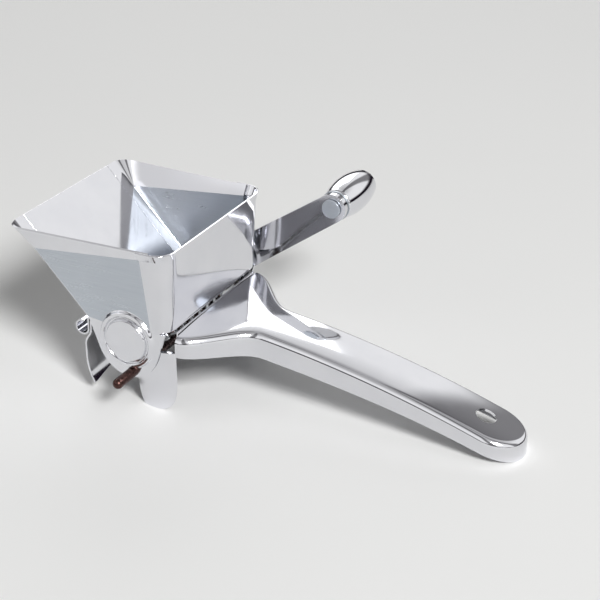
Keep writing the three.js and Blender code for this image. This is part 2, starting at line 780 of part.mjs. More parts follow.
const tieNutLow = halfWidth + bossRingRise + gap;
const tieEnd = tieNutLow + tieNutHeight;
const tieRod = new THREE.CylinderGeometry(tieRadius, tieRadius, halfWidth + tieReach + tieEnd, roundSteps);
tieRod.translate(tieX, (tieEnd - halfWidth - tieReach) / 2, tieZ);
cutter.add(named('tie_rod', closed(tieRod), darkSteel));
const tieNut = named('tie_nut', domedNut(tieNutHeight, tieNutDome, tieNutRadius, tieRadius + gap,
  tieNutHeight + gap), darkSteel);
tieNut.position.set(tieX, tieNutLow, tieZ);
cutter.add(tieNut);

cutter.add(named('handle_shell', handleShell(), polishedSteel));
rivetPlaces.forEach((y, i) => {
  const rivet = named(`handle_rivet_${i + 1}`, handleRivet(), satinSteel);
  rivet.position.set(0, y, rivetHeight);
  cutter.add(rivet);
});

cutter.add(named('near_bush', ring(shaftRadius + gap, bushRadius, -bushOuter, -bushInner), nylon));
cutter.add(named('far_bush', ring(shaftRadius + gap, bushRadius, bushInner, bushOuter), nylon));

// The stack on the shaft: collar, discs with spacers between them, collar
const rotor = new THREE.Group();
rotor.add(named('rotor_shaft', rotorShaft(), satinSteel));
const collarInner = bushInner - gap - collarLength;
const collarOuter = bushInner - gap;
const stackBore = shaftRadius + gap;
rotor.add(named('near_collar', ring(stackBore, spacerRadius, -collarOuter, -collarInner), satinSteel));
rotor.add(named('far_collar', ring(stackBore, spacerRadius, collarInner, collarOuter), satinSteel));
for (let i = 0; i < discCount; i += 1) {
  const disc = named(`cutter_disc_${i + 1}`, cutterDisc(), bladeSteel);
  disc.position.y = -stackHalf + i * discPitch;
  disc.rotation.y = (i * 2 * Math.PI) / (discTeeth * discCount);
  rotor.add(disc);
}
const spacerHalf = discPitch / 2 - discSheet / 2 - gap;
for (let i = 0; i < discCount - 1; i += 1) {
  const tube = ring(stackBore, spacerRadius, -spacerHalf, spacerHalf);
  const spacer = named(`spacer_${i + 1}`, tube, satinSteel);
  spacer.position.y = -stackHalf + (i + 0.5) * discPitch;
  rotor.add(spacer);
}

const crankSpacer = ring(shaftRadius + gap, shaftRadius + gap + crankSpacerWall,
  halfWidth + bossRise + gap, crankInner - gap);
rotor.add(named('crank_spacer', crankSpacer, satinSteel));
const crankWasher = ring(studRadius + gap, washerRadius, washerInner, washerOuter);
rotor.add(named('crank_washer', crankWasher, satinSteel));
const crankNut = named('crank_nut', domedNut(nutHeight, nutDome, nutRadius, studRadius + gap,
  nutHeight + studEnd + gap), polishedSteel);
crankNut.position.y = nutInner;
rotor.add(crankNut);

// Arm and knob swing up together from +X
const arm = new THREE.Group();
arm.rotation.y = -crankAngle;
arm.add(named('crank_arm', crankArm(), polishedSteel));
const grip = new THREE.Group();
grip.position.x = crankLength;
grip.add(named('knob_spindle', knobSpindle(), satinSteel));
const knobWasher = ring(spindleRadius + gap, knobEndRadius, washerInner, washerOuter);
grip.add(named('knob_washer', knobWasher, satinSteel));
grip.add(named('crank_knob', crankKnob(), polishedSteel));
arm.add(grip);
rotor.add(arm);
cutter.add(rotor);

// Set down on z = 0, with the middle of its box over the origin
const box = new THREE.Box3().setFromObject(cutter, true);
cutter.position.set(-(box.min.x + box.max.x) / 2, -(box.min.y + box.max.y) / 2, -box.min.z);

export default cutter;
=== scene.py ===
"""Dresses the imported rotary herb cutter: steel hopper, toothed rotor, crank with knob, and channel handle.

Sizes are in metres. Pieces are drawn about the hub, the middle of the rotor's shaft, with X towards the
handle, Y along the shaft towards the crank and Z up, and are then moved to the hub's place in the frame.
"""

import json
import math

import bmesh
import bpy
from mathutils import Matrix, Vector


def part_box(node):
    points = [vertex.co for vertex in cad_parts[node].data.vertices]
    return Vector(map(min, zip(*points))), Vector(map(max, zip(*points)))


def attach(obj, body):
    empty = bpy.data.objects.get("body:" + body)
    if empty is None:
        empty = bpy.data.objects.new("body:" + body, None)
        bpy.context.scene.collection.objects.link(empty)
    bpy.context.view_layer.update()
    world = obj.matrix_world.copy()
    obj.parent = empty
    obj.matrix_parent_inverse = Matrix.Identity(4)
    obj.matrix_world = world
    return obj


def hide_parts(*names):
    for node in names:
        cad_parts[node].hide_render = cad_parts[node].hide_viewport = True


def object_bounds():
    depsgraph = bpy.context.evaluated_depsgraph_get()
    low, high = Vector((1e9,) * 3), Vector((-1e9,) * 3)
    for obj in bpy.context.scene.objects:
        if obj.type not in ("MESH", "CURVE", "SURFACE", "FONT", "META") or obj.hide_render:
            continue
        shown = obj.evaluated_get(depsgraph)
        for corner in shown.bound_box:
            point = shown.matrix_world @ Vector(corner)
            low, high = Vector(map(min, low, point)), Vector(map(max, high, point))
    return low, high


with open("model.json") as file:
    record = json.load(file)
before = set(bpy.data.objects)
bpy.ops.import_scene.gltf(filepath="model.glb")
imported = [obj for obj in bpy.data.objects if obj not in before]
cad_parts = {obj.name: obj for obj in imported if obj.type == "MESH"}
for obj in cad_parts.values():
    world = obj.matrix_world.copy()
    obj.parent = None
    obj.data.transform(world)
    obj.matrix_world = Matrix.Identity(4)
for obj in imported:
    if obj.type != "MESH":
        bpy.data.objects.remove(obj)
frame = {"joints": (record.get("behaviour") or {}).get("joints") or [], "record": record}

bl_info = {
    "name": "Rotary herb cutter",
    "version": (1, 0, 0),
    "blender": (4, 5, 0),
    "location": "3D View > Sidebar > Herb cutter",
    "description": "Builds a hand-cranked rotary herb cutter around its packed frame",
    "category": "Add Mesh",
}

MM = 0.001
CAD_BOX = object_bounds()
JOINTS = {joint["name"]: joint for joint in frame["joints"]}
HUB = Vector(JOINTS["crank_turn"]["pos_m"])
# Corners closer than this are merged.
WELD = 0.01 * MM
ROUND_STEPS = 72
# Gap between pieces that touch, or turn in each other, in the real cutter
GAP = 0.3 * MM
# Gap between the sloping wall and the end plates that fold round to it
SEAM = 0.03 * MM
# Play of a ring on the bar that it is pushed on to
PLAY = 0.1 * MM
# How far the combs keep off the rotor, and the feet off the bushes
CLEAR = 0.6 * MM
# How far the rear wall stands outside the walls' lines
LAP = 1.1 * MM
DISC_COUNT = 9
RIVET_COUNT = 4


def span(node):
    """A node's lowest and highest corners, measured from the hub."""
    low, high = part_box(node)
    return low - HUB, high - HUB


PLATE_LOW, PLATE_HIGH = span("near_end_plate")
REAR_LOW, REAR_HIGH = span("rear_wall")
CHEEK_LOW, CHEEK_HIGH = span("front_cheek")
FOOT_LOW, FOOT_HIGH = span("near_foot")
APRON_LOW, APRON_HIGH = span("rear_apron")
HANDLE_LOW, HANDLE_HIGH = span("handle_shell")
SHAFT_LOW, SHAFT_HIGH = span("rotor_shaft")
ROD_LOW, ROD_HIGH = span("tie_rod")
KNOB_AXIS = Vector(JOINTS["knob_spin"]["pos_m"]) - HUB


def linear(colour):
    """The linear values of an sRGB hex colour."""
    values = []
    for start in (1, 3, 5):
        part = int(colour[start:start + 2], 16) / 255
        values.append(part / 12.92 if part <= 0.04045 else ((part + 0.055) / 1.055) ** 2.4)
    return tuple(values)


def length(name, description, default):
    """A size that a user can change."""
    return bpy.props.FloatProperty(
        name=name, description=description, default=default, unit="LENGTH", precision=5
    )


def colour(name, description, default):
    """A colour that a user can change, given as sRGB hex."""
    return bpy.props.FloatVectorProperty(
        name=name, description=description, default=linear(default), subtype="COLOR", size=3, min=0, max=1
    )


class HopperSizes(bpy.types.PropertyGroup):
    """Sizes of the hopper's walls, its cheek, its apron and its feet."""

    sheet: length("Sheet", "Thickness of the wall sheet", 0.8 * MM)
    rim_height: length("Rim height", "Height of the rim over the shaft", PLATE_HIGH.z)
    floor_height: length("Floor height", "Height of the walls' lower end over the shaft", REAR_LOW.z)
    front_rim: length("Front rim", "Reach of the sloping wall at the rim", -PLATE_LOW.x)
    front_floor: length("Front floor", "Reach of the sloping wall at the floor", 18.8 * MM)
    rear_rim: length("Rear rim", "Reach of the rear wall's line at the rim", REAR_HIGH.x - LAP)
    rear_floor: length("Rear floor", "Reach of the rear wall's line at the floor", 17.3 * MM)
    half_width: length("Half width", "Half the width over the end plates", 35.5 * MM)
    band_front: length("Band in front", "Height of the flared band at the sloping wall", 9.2 * MM)
    band_rear: length("Band behind", "Height of the flared band at the rear wall", 3.0 * MM)
    flare_front: length("Flare in front", "How far the band leans out in front", 4.5 * MM)
    flare_rear: length("Flare behind", "How far the band leans out behind", 2.0 * MM)
    front_corner: length("Front corner", "Radius of the front corners at the rim", 6.5 * MM)
    edge_corner: length("Edge corner", "Radius of the front edges below the flared band", 1.2 * MM)
    rear_corner: length("Rear corner", "Radius of the rear corners", 6.0 * MM)
    seam_half: length("Seam", "Half the width of the sloping wall between its seams", 29.0 * MM)
    plate_end: length("Plate end", "Where the end plates stop under the rear flanges", 12.8 * MM)
    flange_low: length("Flange low", "Where the rear wall's flanges stop at the floor", 11.6 * MM)
    flange_high: length("Flange high", "Where the rear wall's flanges stop at the rim", REAR_LOW.x)
    lap: length("Lap", "How far the rear wall stands outside the end plates", LAP)
    tongue_half: length("Tongue half", "Half the width of the round tongue under each plate", 14.2 * MM)
    tongue_drop: length("Tongue drop", "How far the tongue hangs below the shaft", -PLATE_LOW.z)
    boss_radius: length("Boss radius", "Radius of the pressed boss at its foot", 12.4 * MM)
    boss_disc: length("Boss disc", "Radius of the boss's flat middle", 8.4 * MM)
    boss_rise: length("Boss rise", "How far the flat middle stands out", 1.7 * MM)
    ring_rise: length("Ring rise", "How far the ring round it stands out", 1.2 * MM)
    groove_rise: length("Groove rise", "How far the groove between them stands out", 0.5 * MM)
    curl_radius: length("Curl radius", "Outer radius of the sloping wall's rolled edge", 3.3 * MM)
    curl_drop: length("Curl drop", "How far the rolled edge hangs below the floor", 6.2 * MM)
    cheek_swell: length("Cheek swell", "How far the cheek swells out under the rolled edge", 2.9 * MM)
    cheek_tuck: length("Cheek tuck", "How far the cheek's foot is tucked in again", 3.0 * MM)
    cheek_arch: length("Cheek arch", "Rise of the arch in the cheek's lower edge", 3.0 * MM)
    foot_bulge: length("Foot bulge", "Radius of the feet's round faces", 18.0 * MM)
    foot_sheet: length("Foot sheet", "Thickness of the feet's sheet", 1.5 * MM)
    rod_radius: length("Rod radius", "Radius of the tie rod", 2.1 * MM)
    nut_radius: length("Nut radius", "Corner radius of the tie rod's nut", 4.6 * MM)
    nut_height: length("Nut height", "Height of the tie rod's nut under its dome", 3.5 * MM)


class RotorSizes(bpy.types.PropertyGroup):
    """Sizes of the shaft, its cutting discs, spacers and bushes."""

    shaft_radius: length("Shaft radius", "Radius of the shaft", 4.0 * MM)
    stud_radius: length("Stud radius", "Radius of the stud that carries the crank", 3.0 * MM)
    spacer_radius: length("Spacer radius", "Outer radius of the spacers", 6.5 * MM)
    disc_radius: length("Disc radius", "Radius of the discs at their points", 11.1 * MM)
    tooth_depth: length("Tooth depth", "Depth of the gaps between the points", 2.9 * MM)
    disc_sheet: length("Disc sheet", "Thickness of the discs", 1.2 * MM)
    cutting_edge: length("Cutting edge", "Thickness left at the ground edge", 0.25 * MM)
    bush_radius: length("Bush radius", "Outer radius of the bushes", 8.2 * MM)
    teeth: bpy.props.IntProperty(name="Teeth", description="Points on each disc", default=6, min=3)


class CrankSizes(bpy.types.PropertyGroup):
    """Sizes of the crank and of its knob."""

    hub_radius: length("Hub radius", "Radius of the arm's end at the shaft", 7.0 * MM)
    end_radius: length("End radius", "Radius of the arm's end at the knob", 6.0 * MM)
    washer_radius: length("Washer radius", "Radius of the crank's washer", 6.5 * MM)
    knob_washer: length("Knob washer", "Radius of the washer under the knob", 6.3 * MM)
    nut_radius: length("Nut radius", "Corner radius of the crank's nut", 5.6 * MM)
    nut_height: length("Nut height", "Height of the crank's nut under its dome", 3.0 * MM)
    knob_radius: length("Knob radius", "Radius of the knob at its middle", 8.0 * MM)
    knob_end: length("Knob end", "Radius of the knob at its ends", 6.4 * MM)
    spindle_radius: length("Spindle radius", "Radius of the knob's spindle", 2.4 * MM)


class HandleSizes(bpy.types.PropertyGroup):
    """Sizes of the channel handle and its rivets."""

    sheet: length("Sheet", "Thickness of the handle's sheet", 1.0 * MM)
    root_half: length("Root half width", "Half the width at the hopper", HANDLE_HIGH.y)
    grip_half: length("Grip half width", "Half the width of the grip", 12.5 * MM)
    flare: length("Flare", "Length over which the root narrows to the grip", 26.0 * MM)
    corner: length("Corner", "Radius of the long edges", 3.0 * MM)
    crown: length("Crown", "Rise of the back's middle over its edges", 1.1 * MM)
    root_skirt: length("Root skirt", "Height of the sides at the root", 9.0 * MM)
    grip_skirt: length("Grip skirt", "Height of the sides at the grip", 11.0 * MM)
    tail_skirt: length("Tail skirt", "Height of the sides at the tail", 8.0 * MM)
    tail_round: length("Tail round", "Length of the rounded tail", 14.0 * MM)
    hang_hole: length("Hang hole", "Radius of the hole in the tail", 4.0 * MM)
    hang_inset: length("Hang inset", "Distance of the hole from the tail's end", 16.0 * MM)
    rivet_head: length("Rivet head", "Radius of the rivet heads", 2.8 * MM)


class CutterColours(bpy.types.PropertyGroup):
    """Colours of the finishes."""

    polished: colour("Polished steel", "Mirror-polished stainless steel", "#E7E7EA")
    polished_smear: colour("Polished smear", "Wiped patches on the polished steel", "#D9DADF")
    satin: colour("Satin steel", "Satin stainless steel", "#CDD2D8")
    satin_line: colour("Satin line", "Brushed lines in the satin steel", "#B8BFC8")
    ground: colour("Ground steel", "Ground stainless steel of the blades", "#C6C8CB")
    ground_line: colour("Ground line", "Grinding lines on the blades", "#A9ACB1")
    # The tie rod's two browns are a painted reflection of brown surroundings, not an oxide; the second is a
    # paler patch of it.
    painted_brown_reflection: colour("Rod's painted brown reflection", "Brown painted into the tie rod's colour as a reflection", "#3E2A28")
    paler_painted_reflection: colour("Rod's paler painted reflection", "Paler patches of the rod's painted reflection", "#5C4540")
    nylon: colour("Nylon", "Natural nylon of the bushes", "#E4E0D4")
    nylon_cloud: colour("Nylon cloud", "Clouding in the nylon", "#D8D2C3")


class StageSettings(bpy.types.PropertyGroup):
    """Camera, floor and light of the scene."""

    azimuth: bpy.props.FloatProperty(
        name="Azimuth", description="Turn of the camera round the cutter",
        default=math.radians(27), subtype="ANGLE",
    )
    elevation: bpy.props.FloatProperty(
        name="Elevation", description="Height of the camera over the table",
        default=math.radians(27), subtype="ANGLE",
    )
    lens: bpy.props.FloatProperty(
        name="Lens", description="Focal length in millimetres on a 36 mm frame",
        default=85.0, subtype="DISTANCE_CAMERA",
    )
    distance: length("Distance", "From the camera to the middle of the cutter", 560 * MM)
    floor: colour("Floor", "Colour of the floor", "#F2F2F1")
    room_light: colour("Room light", "Light part of the room", "#FFFFFF")
    room_dark: colour("Room dark", "Dark part of the room that the steel shows", "#1C1420")


def add_node(tree, kind, settings=None, links=None):
    """Adds one shader node, with its settings and with the outputs that its inputs are linked to."""
    made = tree.nodes.new(kind)
    for name, value in (settings or {}).items():
        if isinstance(name, str) and hasattr(made, name):
            setattr(made, name, value)
        else:
            made.inputs[name].default_value = value
    for name, output in (links or {}).items():
        tree.links.new(output, made.inputs[name])
    return made


def new_finish(name):
    """A new material, its empty node tree and its object coordinates."""
    material = bpy.data.materials.new(name)
    material.use_nodes = True
    tree = material.node_tree
    tree.nodes.clear()
    return material, tree, add_node(tree, "ShaderNodeTexCoord").outputs["Object"]


def end_finish(tree, pattern, marks, tints, rough, relief, settings):
    """Joins up a finish: its pattern mixes tints and roughnesses, and its marks are in low relief."""
    gloss = add_node(tree, "ShaderNodeMapRange",
                     {"From Min": 0.3, "From Max": 0.7, "To Min": rough[0], "To Max": rough[1]},
                     {"Value": pattern})
    shade = add_node(tree, "ShaderNodeMix",
                     {"data_type": "RGBA", 6: (*tints[0], 1), 7: (*tints[1], 1)},
                     {0: pattern})
    bump = add_node(tree, "ShaderNodeBump", {"Strength": relief[0], "Distance": relief[1]},
                    {"Height": marks})
    shader = add_node(tree, "ShaderNodeBsdfPrincipled", settings,
                      {"Base Color": shade.outputs[2], "Roughness": gloss.outputs["Result"],
                       "Normal": bump.outputs["Normal"]})
    add_node(tree, "ShaderNodeOutputMaterial", None, {"Surface": shader.outputs["BSDF"]})


METAL = {"Metallic": 1.0}
NYLON = {"Metallic": 0.0, "IOR": 1.53}


def polished_stainless(name, colours):
    """Mirror-polished stainless sheet: bright, with wiped patches and very faint lines from the mop."""
    _, tree, place = new_finish(name)
    patch = 16 * MM
    # The mop's lines are finer than a pixel, so they are drawn 1.5 mm apart.
    line = 1.5 * MM
    wiped = add_node(tree, "ShaderNodeTexNoise", {"Scale": 1 / patch, "Detail": 3.0, "Roughness": 0.55},
                     {"Vector": place})
    drawn = add_node(tree, "ShaderNodeMapping", {"Scale": (0.06, 1.0, 1.0)}, {"Vector": place})
    lines = add_node(tree, "ShaderNodeTexNoise", {"Scale": 1 / line, "Detail": 2.0, "Roughness": 0.6},
                     {"Vector": drawn.outputs["Vector"]})
    end_finish(tree, wiped.outputs["Fac"], lines.outputs["Fac"], (colours.polished, colours.polished_smear),
               rough=(0.045, 0.12), relief=(0.02, 0.05 * MM), settings=METAL)


def satin_stainless(name, colours):
    """Satin stainless sheet: greyer than the polished one, with brushed lines along the hopper."""
    _, tree, place = new_finish(name)
    # Belt grinding leaves lines of about 0.1 mm; they are drawn 0.7 mm wide so that they show.
    line = 0.7 * MM
    cloud = 18 * MM
    brushed = add_node(tree, "ShaderNodeMapping", {"Scale": (0.035, 1.0, 1.0)}, {"Vector": place})
    lines = add_node(tree, "ShaderNodeTexNoise", {"Scale": 1 / line, "Detail": 4.0, "Roughness": 0.65},
                     {"Vector": brushed.outputs["Vector"]})
    clouds = add_node(tree, "ShaderNodeTexNoise", {"Scale": 1 / cloud, "Detail": 2.0}, {"Vector": place})
    both = add_node(tree, "ShaderNodeMix", {"data_type": "FLOAT", 0: 0.35},
                    {2: lines.outputs["Fac"], 3: clouds.outputs["Fac"]})
    end_finish(tree, both.outputs[0], lines.outputs["Fac"], (colours.satin, colours.satin_line),
               rough=(0.24, 0.38), relief=(0.1, 0.05 * MM), settings=METAL)


def ground_stainless(name, colours):
    """Ground stainless blade steel: bright, with short grinding lines across the plates."""
    _, tree, place = new_finish(name)
    # Grinding lines of about 0.05 mm are drawn 0.6 mm wide so that they show.
    line = 0.6 * MM
    ground = add_node(tree, "ShaderNodeMapping", {"Scale": (1.0, 1.0, 0.1)}, {"Vector": place})
    lines = add_node(tree, "ShaderNodeTexNoise", {"Scale": 1 / line, "Detail": 3.0, "Roughness": 0.6},
                     {"Vector": ground.outputs["Vector"]}).outputs["Fac"]
    end_finish(tree, lines, lines, (colours.ground, colours.ground_line),
               rough=(0.14, 0.28), relief=(0.08, 0.04 * MM), settings=METAL)


def steel_with_painted_reflection(name, colours):
    """Dark polished steel bar with a painted brown reflection in its colour: half bright, lighter and
    smoother in patches.
    """
    _, tree, place = new_finish(name)
    patch = 3 * MM
    reflection_patches = add_node(tree, "ShaderNodeTexNoise", {"Scale": 1 / patch, "Detail": 4.0, "Roughness": 0.6},
                    {"Vector": place}).outputs["Fac"]
    # Both tints are painted reflection; the noise only spreads the paler, smoother one in patches.
    end_finish(tree, reflection_patches, reflection_patches, (colours.painted_brown_reflection, colours.paler_painted_reflection),
               rough=(0.34, 0.2), relief=(0.1, 0.03 * MM), settings=METAL)


def natural_nylon(name, colours):
    """Turned natural nylon: milky white with faint clouding and a soft sheen."""
    _, tree, place = new_finish(name)
    cloud = 4 * MM
    clouds = add_node(tree, "ShaderNodeTexNoise", {"Scale": 1 / cloud, "Detail": 3.0},
                      {"Vector": place}).outputs["Fac"]
    end_finish(tree, clouds, clouds, (colours.nylon, colours.nylon_cloud),
               rough=(0.38, 0.5), relief=(0.06, 0.03 * MM), settings=NYLON)


FINISHES = {
    "polished_steel": ("mirror_polished_stainless", polished_stainless),
    "satin_steel": ("satin_brushed_stainless", satin_stainless),
    "blade_steel": ("ground_stainless_blade", ground_stainless),
    # The tie rod's finish has a painted brown reflection in its colour.
    "dark_steel": ("dark_steel_painted_brown_reflection", steel_with_painted_reflection),
    "nylon": ("natural_nylon", natural_nylon),
}


def finish(slot):
    """The finish of a material slot, made when it is first asked for."""
    name, make = FINISHES[slot]
    if name not in bpy.data.materials:
        make(name, bpy.context.scene.cutter_colours)
    return bpy.data.materials[name]


NODE_SLOTS = {part["node"]: part["material_slot"] for part in frame["record"]["subparts"]}
NODE_BODIES = {
    node: body for body, nodes in frame["record"]["behaviour"]["bodies"].items() for node in nodes
}


def lathe(bm, profile, steps=ROUND_STEPS, closed=False):
    """Spins a profile of (radius, place along the shaft) points a full turn about the shaft's line."""
    points = [bm.verts.new((radius, along, 0)) for radius, along in profile]
    lines = [bm.edges.new(pair) for pair in zip(points, points[1:])]
    if closed:
        lines.append(bm.edges.new((points[-1], points[0])))
    bmesh.ops.spin(bm, geom=points + lines, cent=(0, 0, 0), axis=(0, 1, 0), angle=math.tau, steps=steps,
                   use_merge=True)
    bmesh.ops.remove_doubles(bm, verts=bm.verts, dist=WELD)
    bmesh.ops.recalc_face_normals(bm, faces=bm.faces)


def lay_sheet(bm, columns, rows, place):
    """A grid of sheet metal; place gives a corner's point from how far it is across and along, 0 to 1."""
    made = bmesh.ops.create_grid(bm, x_segments=columns, y_segments=rows, size=0.5)
    for corner in made["verts"]:
        corner.co = place(corner.co.x + 0.5, corner.co.y + 0.5)
    return made["verts"]


def fill_outline(bm, outline):
    """Fills a closed flat outline and returns its faces."""
    points = [bm.verts.new(point) for point in outline]
    lines = [bm.edges.new(pair) for pair in zip(points, points[1:] + points[:1])]
    made = bmesh.ops.triangle_fill(bm, use_beauty=True, use_dissolve=False, edges=lines)
    return [item for item in made["geom"] if isinstance(item, bmesh.types.BMFace)]


def thicken(bm, faces, depth):
    """Draws filled faces out along a vector into a closed plate."""
    made = bmesh.ops.extrude_face_region(bm, geom=faces, use_keep_orig=True)
    moved = [item for item in made["geom"] if isinstance(item, bmesh.types.BMVert)]
    bmesh.ops.translate(bm, verts=moved, vec=depth)
    bmesh.ops.recalc_face_normals(bm, faces=bm.faces)


def face_out(bm, outward):
    """Turns an open sheet's faces so that most of it looks along a vector."""
    bmesh.ops.remove_doubles(bm, verts=bm.verts, dist=WELD)
    bmesh.ops.recalc_face_normals(bm, faces=bm.faces)
    drift = sum(face.normal.dot(outward) * face.calc_area() for face in bm.faces)
    if drift < 0:
        bmesh.ops.reverse_faces(bm, faces=bm.faces)


def set_piece(bm, node, finishes=None, sheet=0.0, ease=0.2 * MM, turn=20.0):
    """Moves a drawn piece to the hub, gives it thickness, eased edges and finish, and ties it to its node.

    Sheet is the thickness of an open sheet, ease the width of the eased edges, and turn the least angle, in
    degrees, of an edge that is eased.
    """
    bmesh.ops.translate(bm, verts=bm.verts, vec=HUB)
    mesh = bpy.data.meshes.new(node + "_piece")
    bm.to_mesh(mesh)
    bm.free()
    mesh.shade_smooth()
    slot = NODE_SLOTS[node]
    for material in finishes or [finish(slot)]:
        mesh.materials.append(material)
    piece = bpy.data.objects.new(node + "_piece", mesh)
    bpy.context.scene.collection.objects.link(piece)
    if sheet:
        wall = piece.modifiers.new("wall", "SOLIDIFY")
        wall.thickness = sheet
        wall.offset = -1
        wall.use_even_offset = True
    if ease:
        edge = piece.modifiers.new("edge", "BEVEL")
        edge.width = ease
        edge.segments = 3
        edge.limit_method = "ANGLE"
        edge.angle_limit = math.radians(turn)
        edge.harden_normals = True
    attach(piece, NODE_BODIES[node])
    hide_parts(node)
    return piece


def between(start, end, share):
    """The value at a share of the way from start to end."""
    return start + (end - start) * share


def smooth(low, high, value):
    """Goes softly from 0 at low to 1 at high."""
    share = min(max((value - low) / (high - low), 0), 1)
    return share * share * (3 - 2 * share)


def on_circle(radius, degrees):
    """A point of a circle round the shaft, as x and z."""
    angle = math.radians(degrees)
    return radius * math.cos(angle), radius * math.sin(angle)


def quarter_turn(steps):
    """Angles from 0 to a right angle."""
    return [math.pi / 2 * i / steps for i in range(steps + 1)]


def domed_head(radius, top, rise, steps):
    """Profile of a domed head, from its edge to the middle of its top."""
    return [(radius * math.cos(turn), top - rise + rise * math.sin(turn)) for turn in quarter_turn(steps)]


def tangent_angle(x, z, sense):
    """The angle, in degrees, at which a line from a point touches the unit circle."""
    return math.degrees(math.atan2(z, x) + sense * math.acos(1 / math.hypot(x, z)))


def wall_share(hopper, height):
    """How far up the walls a height is, 0 at the floor and 1 at the rim."""
    return (height - hopper.floor_height) / (hopper.rim_height - hopper.floor_height)


def front_reach(hopper, height):
    """Reach of the sloping wall at a height."""
    return between(hopper.front_floor, hopper.front_rim, wall_share(hopper, height))


def rear_reach(hopper, height):
    """Reach of the rear wall's line at a height."""
    return between(hopper.rear_floor, hopper.rear_rim, wall_share(hopper, height))


def corner_radius(hopper, height):
    """Radius of the front corners: tight up to the crease, and opening out to the rim."""
    share = (height - hopper.rim_height + hopper.band_front) / hopper.band_front
    return between(hopper.edge_corner, hopper.front_corner, max(share, 0))


def crease_start(hopper):
    """Height of the crease in front, and the x at which it leaves the front corner."""
    height = hopper.rim_height - hopper.band_front
    return height, corner_radius(hopper, height) - front_reach(hopper, height)


def crease_height(hopper, x):
    """Height of the crease under the flared band, which rises towards the handle."""
    low, start = crease_start(hopper)
    high = hopper.rim_height - hopper.band_rear
    share = (x - start) / (rear_reach(hopper, high) - start)
    return between(low, high, min(max(share, 0), 1))


def rim_half(hopper, x):
    """Half the width of the rim, which narrows towards the handle."""
    start = hopper.front_corner - hopper.front_rim
    share = min(max((x - start) / (hopper.rear_rim - start), 0), 1)
    return hopper.half_width + between(hopper.flare_front, hopper.flare_rear, share)


def boss_rise(hopper, radius):
    """How far the pressed boss stands out at a radius: a ring, a groove and a flat middle."""
    foot = hopper.boss_radius
    disc = hopper.boss_disc
    ring_slope = 1.1 * MM
    groove_start, groove_end = 1.2 * MM, 2.0 * MM
    disc_slope = 0.9 * MM
    ring = 1 - smooth(foot - ring_slope, foot, radius)
    groove = 1 - smooth(disc + groove_start, disc + groove_end, radius)
    middle = 1 - smooth(disc, disc + disc_slope, radius)
    return (hopper.ring_rise * ring - (hopper.ring_rise - hopper.groove_rise) * groove
            + (hopper.boss_rise - hopper.groove_rise) * middle)


def draw_end_plate(hopper, side):
    """One end plate: satin panel, flared band, round front corner, round tongue and pressed boss."""
    bm = bmesh.new()
    face = side * hopper.half_width
    floor = hopper.floor_height
    crease, crease_left = crease_start(hopper)
    foot = hopper.boss_radius
    step = 360 // ROUND_STEPS
    # The panel meets the boss's foot above this angle, in degrees, and the tongue meets the rest of it.
    split = 25
    fine = 0.1 * MM
    rings = [foot - i * fine for i in range(50)] + [7 * MM, 5 * MM, 3 * MM, 1.5 * MM, 0]
    lathe(bm, [(radius, face + side * boss_rise(hopper, radius)) for radius in rings])

    left = corner_radius(hopper, floor) - hopper.front_floor
    end = hopper.plate_end
    crease_steps = 12
    over = [on_circle(foot, angle) for angle in range(180 - split, split - 1, -step)]
    crease_line = []
    for i in range(crease_steps + 1):
        x = between(end, crease_left, i / crease_steps)
        crease_line.append((x, crease_height(hopper, x)))
    panel = [(left, floor)] + over + [(end, floor)] + crease_line
    for filled in fill_outline(bm, [(x, face, z) for x, z in panel]):
        filled.material_index = 1

    tail = (hopper.rear_floor, floor - GAP)
    half, drop = hopper.tongue_half, hopper.tongue_drop
    first = tangent_angle(left / half, floor / drop, 1)
    last = tangent_angle(tail[0] / half, tail[1] / drop, -1) + 360
    arc_steps = 48
    arc = []
    for i in range(arc_steps + 1):
        across, down = on_circle(1, between(first, last, i / arc_steps))
        arc.append((half * across, drop * down))
    under = [on_circle(foot, angle) for angle in range(split, -180 - split - 1, -step)]
    tongue = [(left, floor)] + arc + [tail, (end, floor)] + under
    fill_outline(bm, [(x, face, z) for x, z in tongue])

    rim_left = hopper.front_corner - hopper.front_rim
    band_rows = 4

    def band(across, along):
        """A point of the flared band between the crease and the rim."""
        low_x = between(crease_left, end, across)
        high_x = between(rim_left, end, across)
        low = Vector((low_x, face, crease_height(hopper, low_x)))
        return low.lerp(Vector((high_x, side * rim_half(hopper, high_x), hopper.rim_height)), along)

    arc_columns = 11

    def corner(across, along):
        """A point of the front corner, from the plate round to the sloping wall's seam."""
        row = along * (band_rows + 1)
        if row <= 1:
            height = between(floor, crease, row)
            half = hopper.half_width
        else:
            share = (row - 1) / band_rows
            height = between(crease, hopper.rim_height, share)
            half = hopper.half_width + hopper.flare_front * share
        reach = front_reach(hopper, height)
        radius = corner_radius(hopper, height)
        column = across * (arc_columns + 1)
        if column > arc_columns + 0.5:
            return Vector((-reach, side * (hopper.seam_half + SEAM), height))
        angle = math.pi / 2 * column / arc_columns
        return Vector((radius - reach - radius * math.sin(angle),
                       side * (half - radius + radius * math.cos(angle)), height))

    lay_sheet(bm, crease_steps, band_rows, band)
    lay_sheet(bm, arc_columns + 1, band_rows + 1, corner)
    face_out(bm, Vector((0, side, 0)))
    return bm


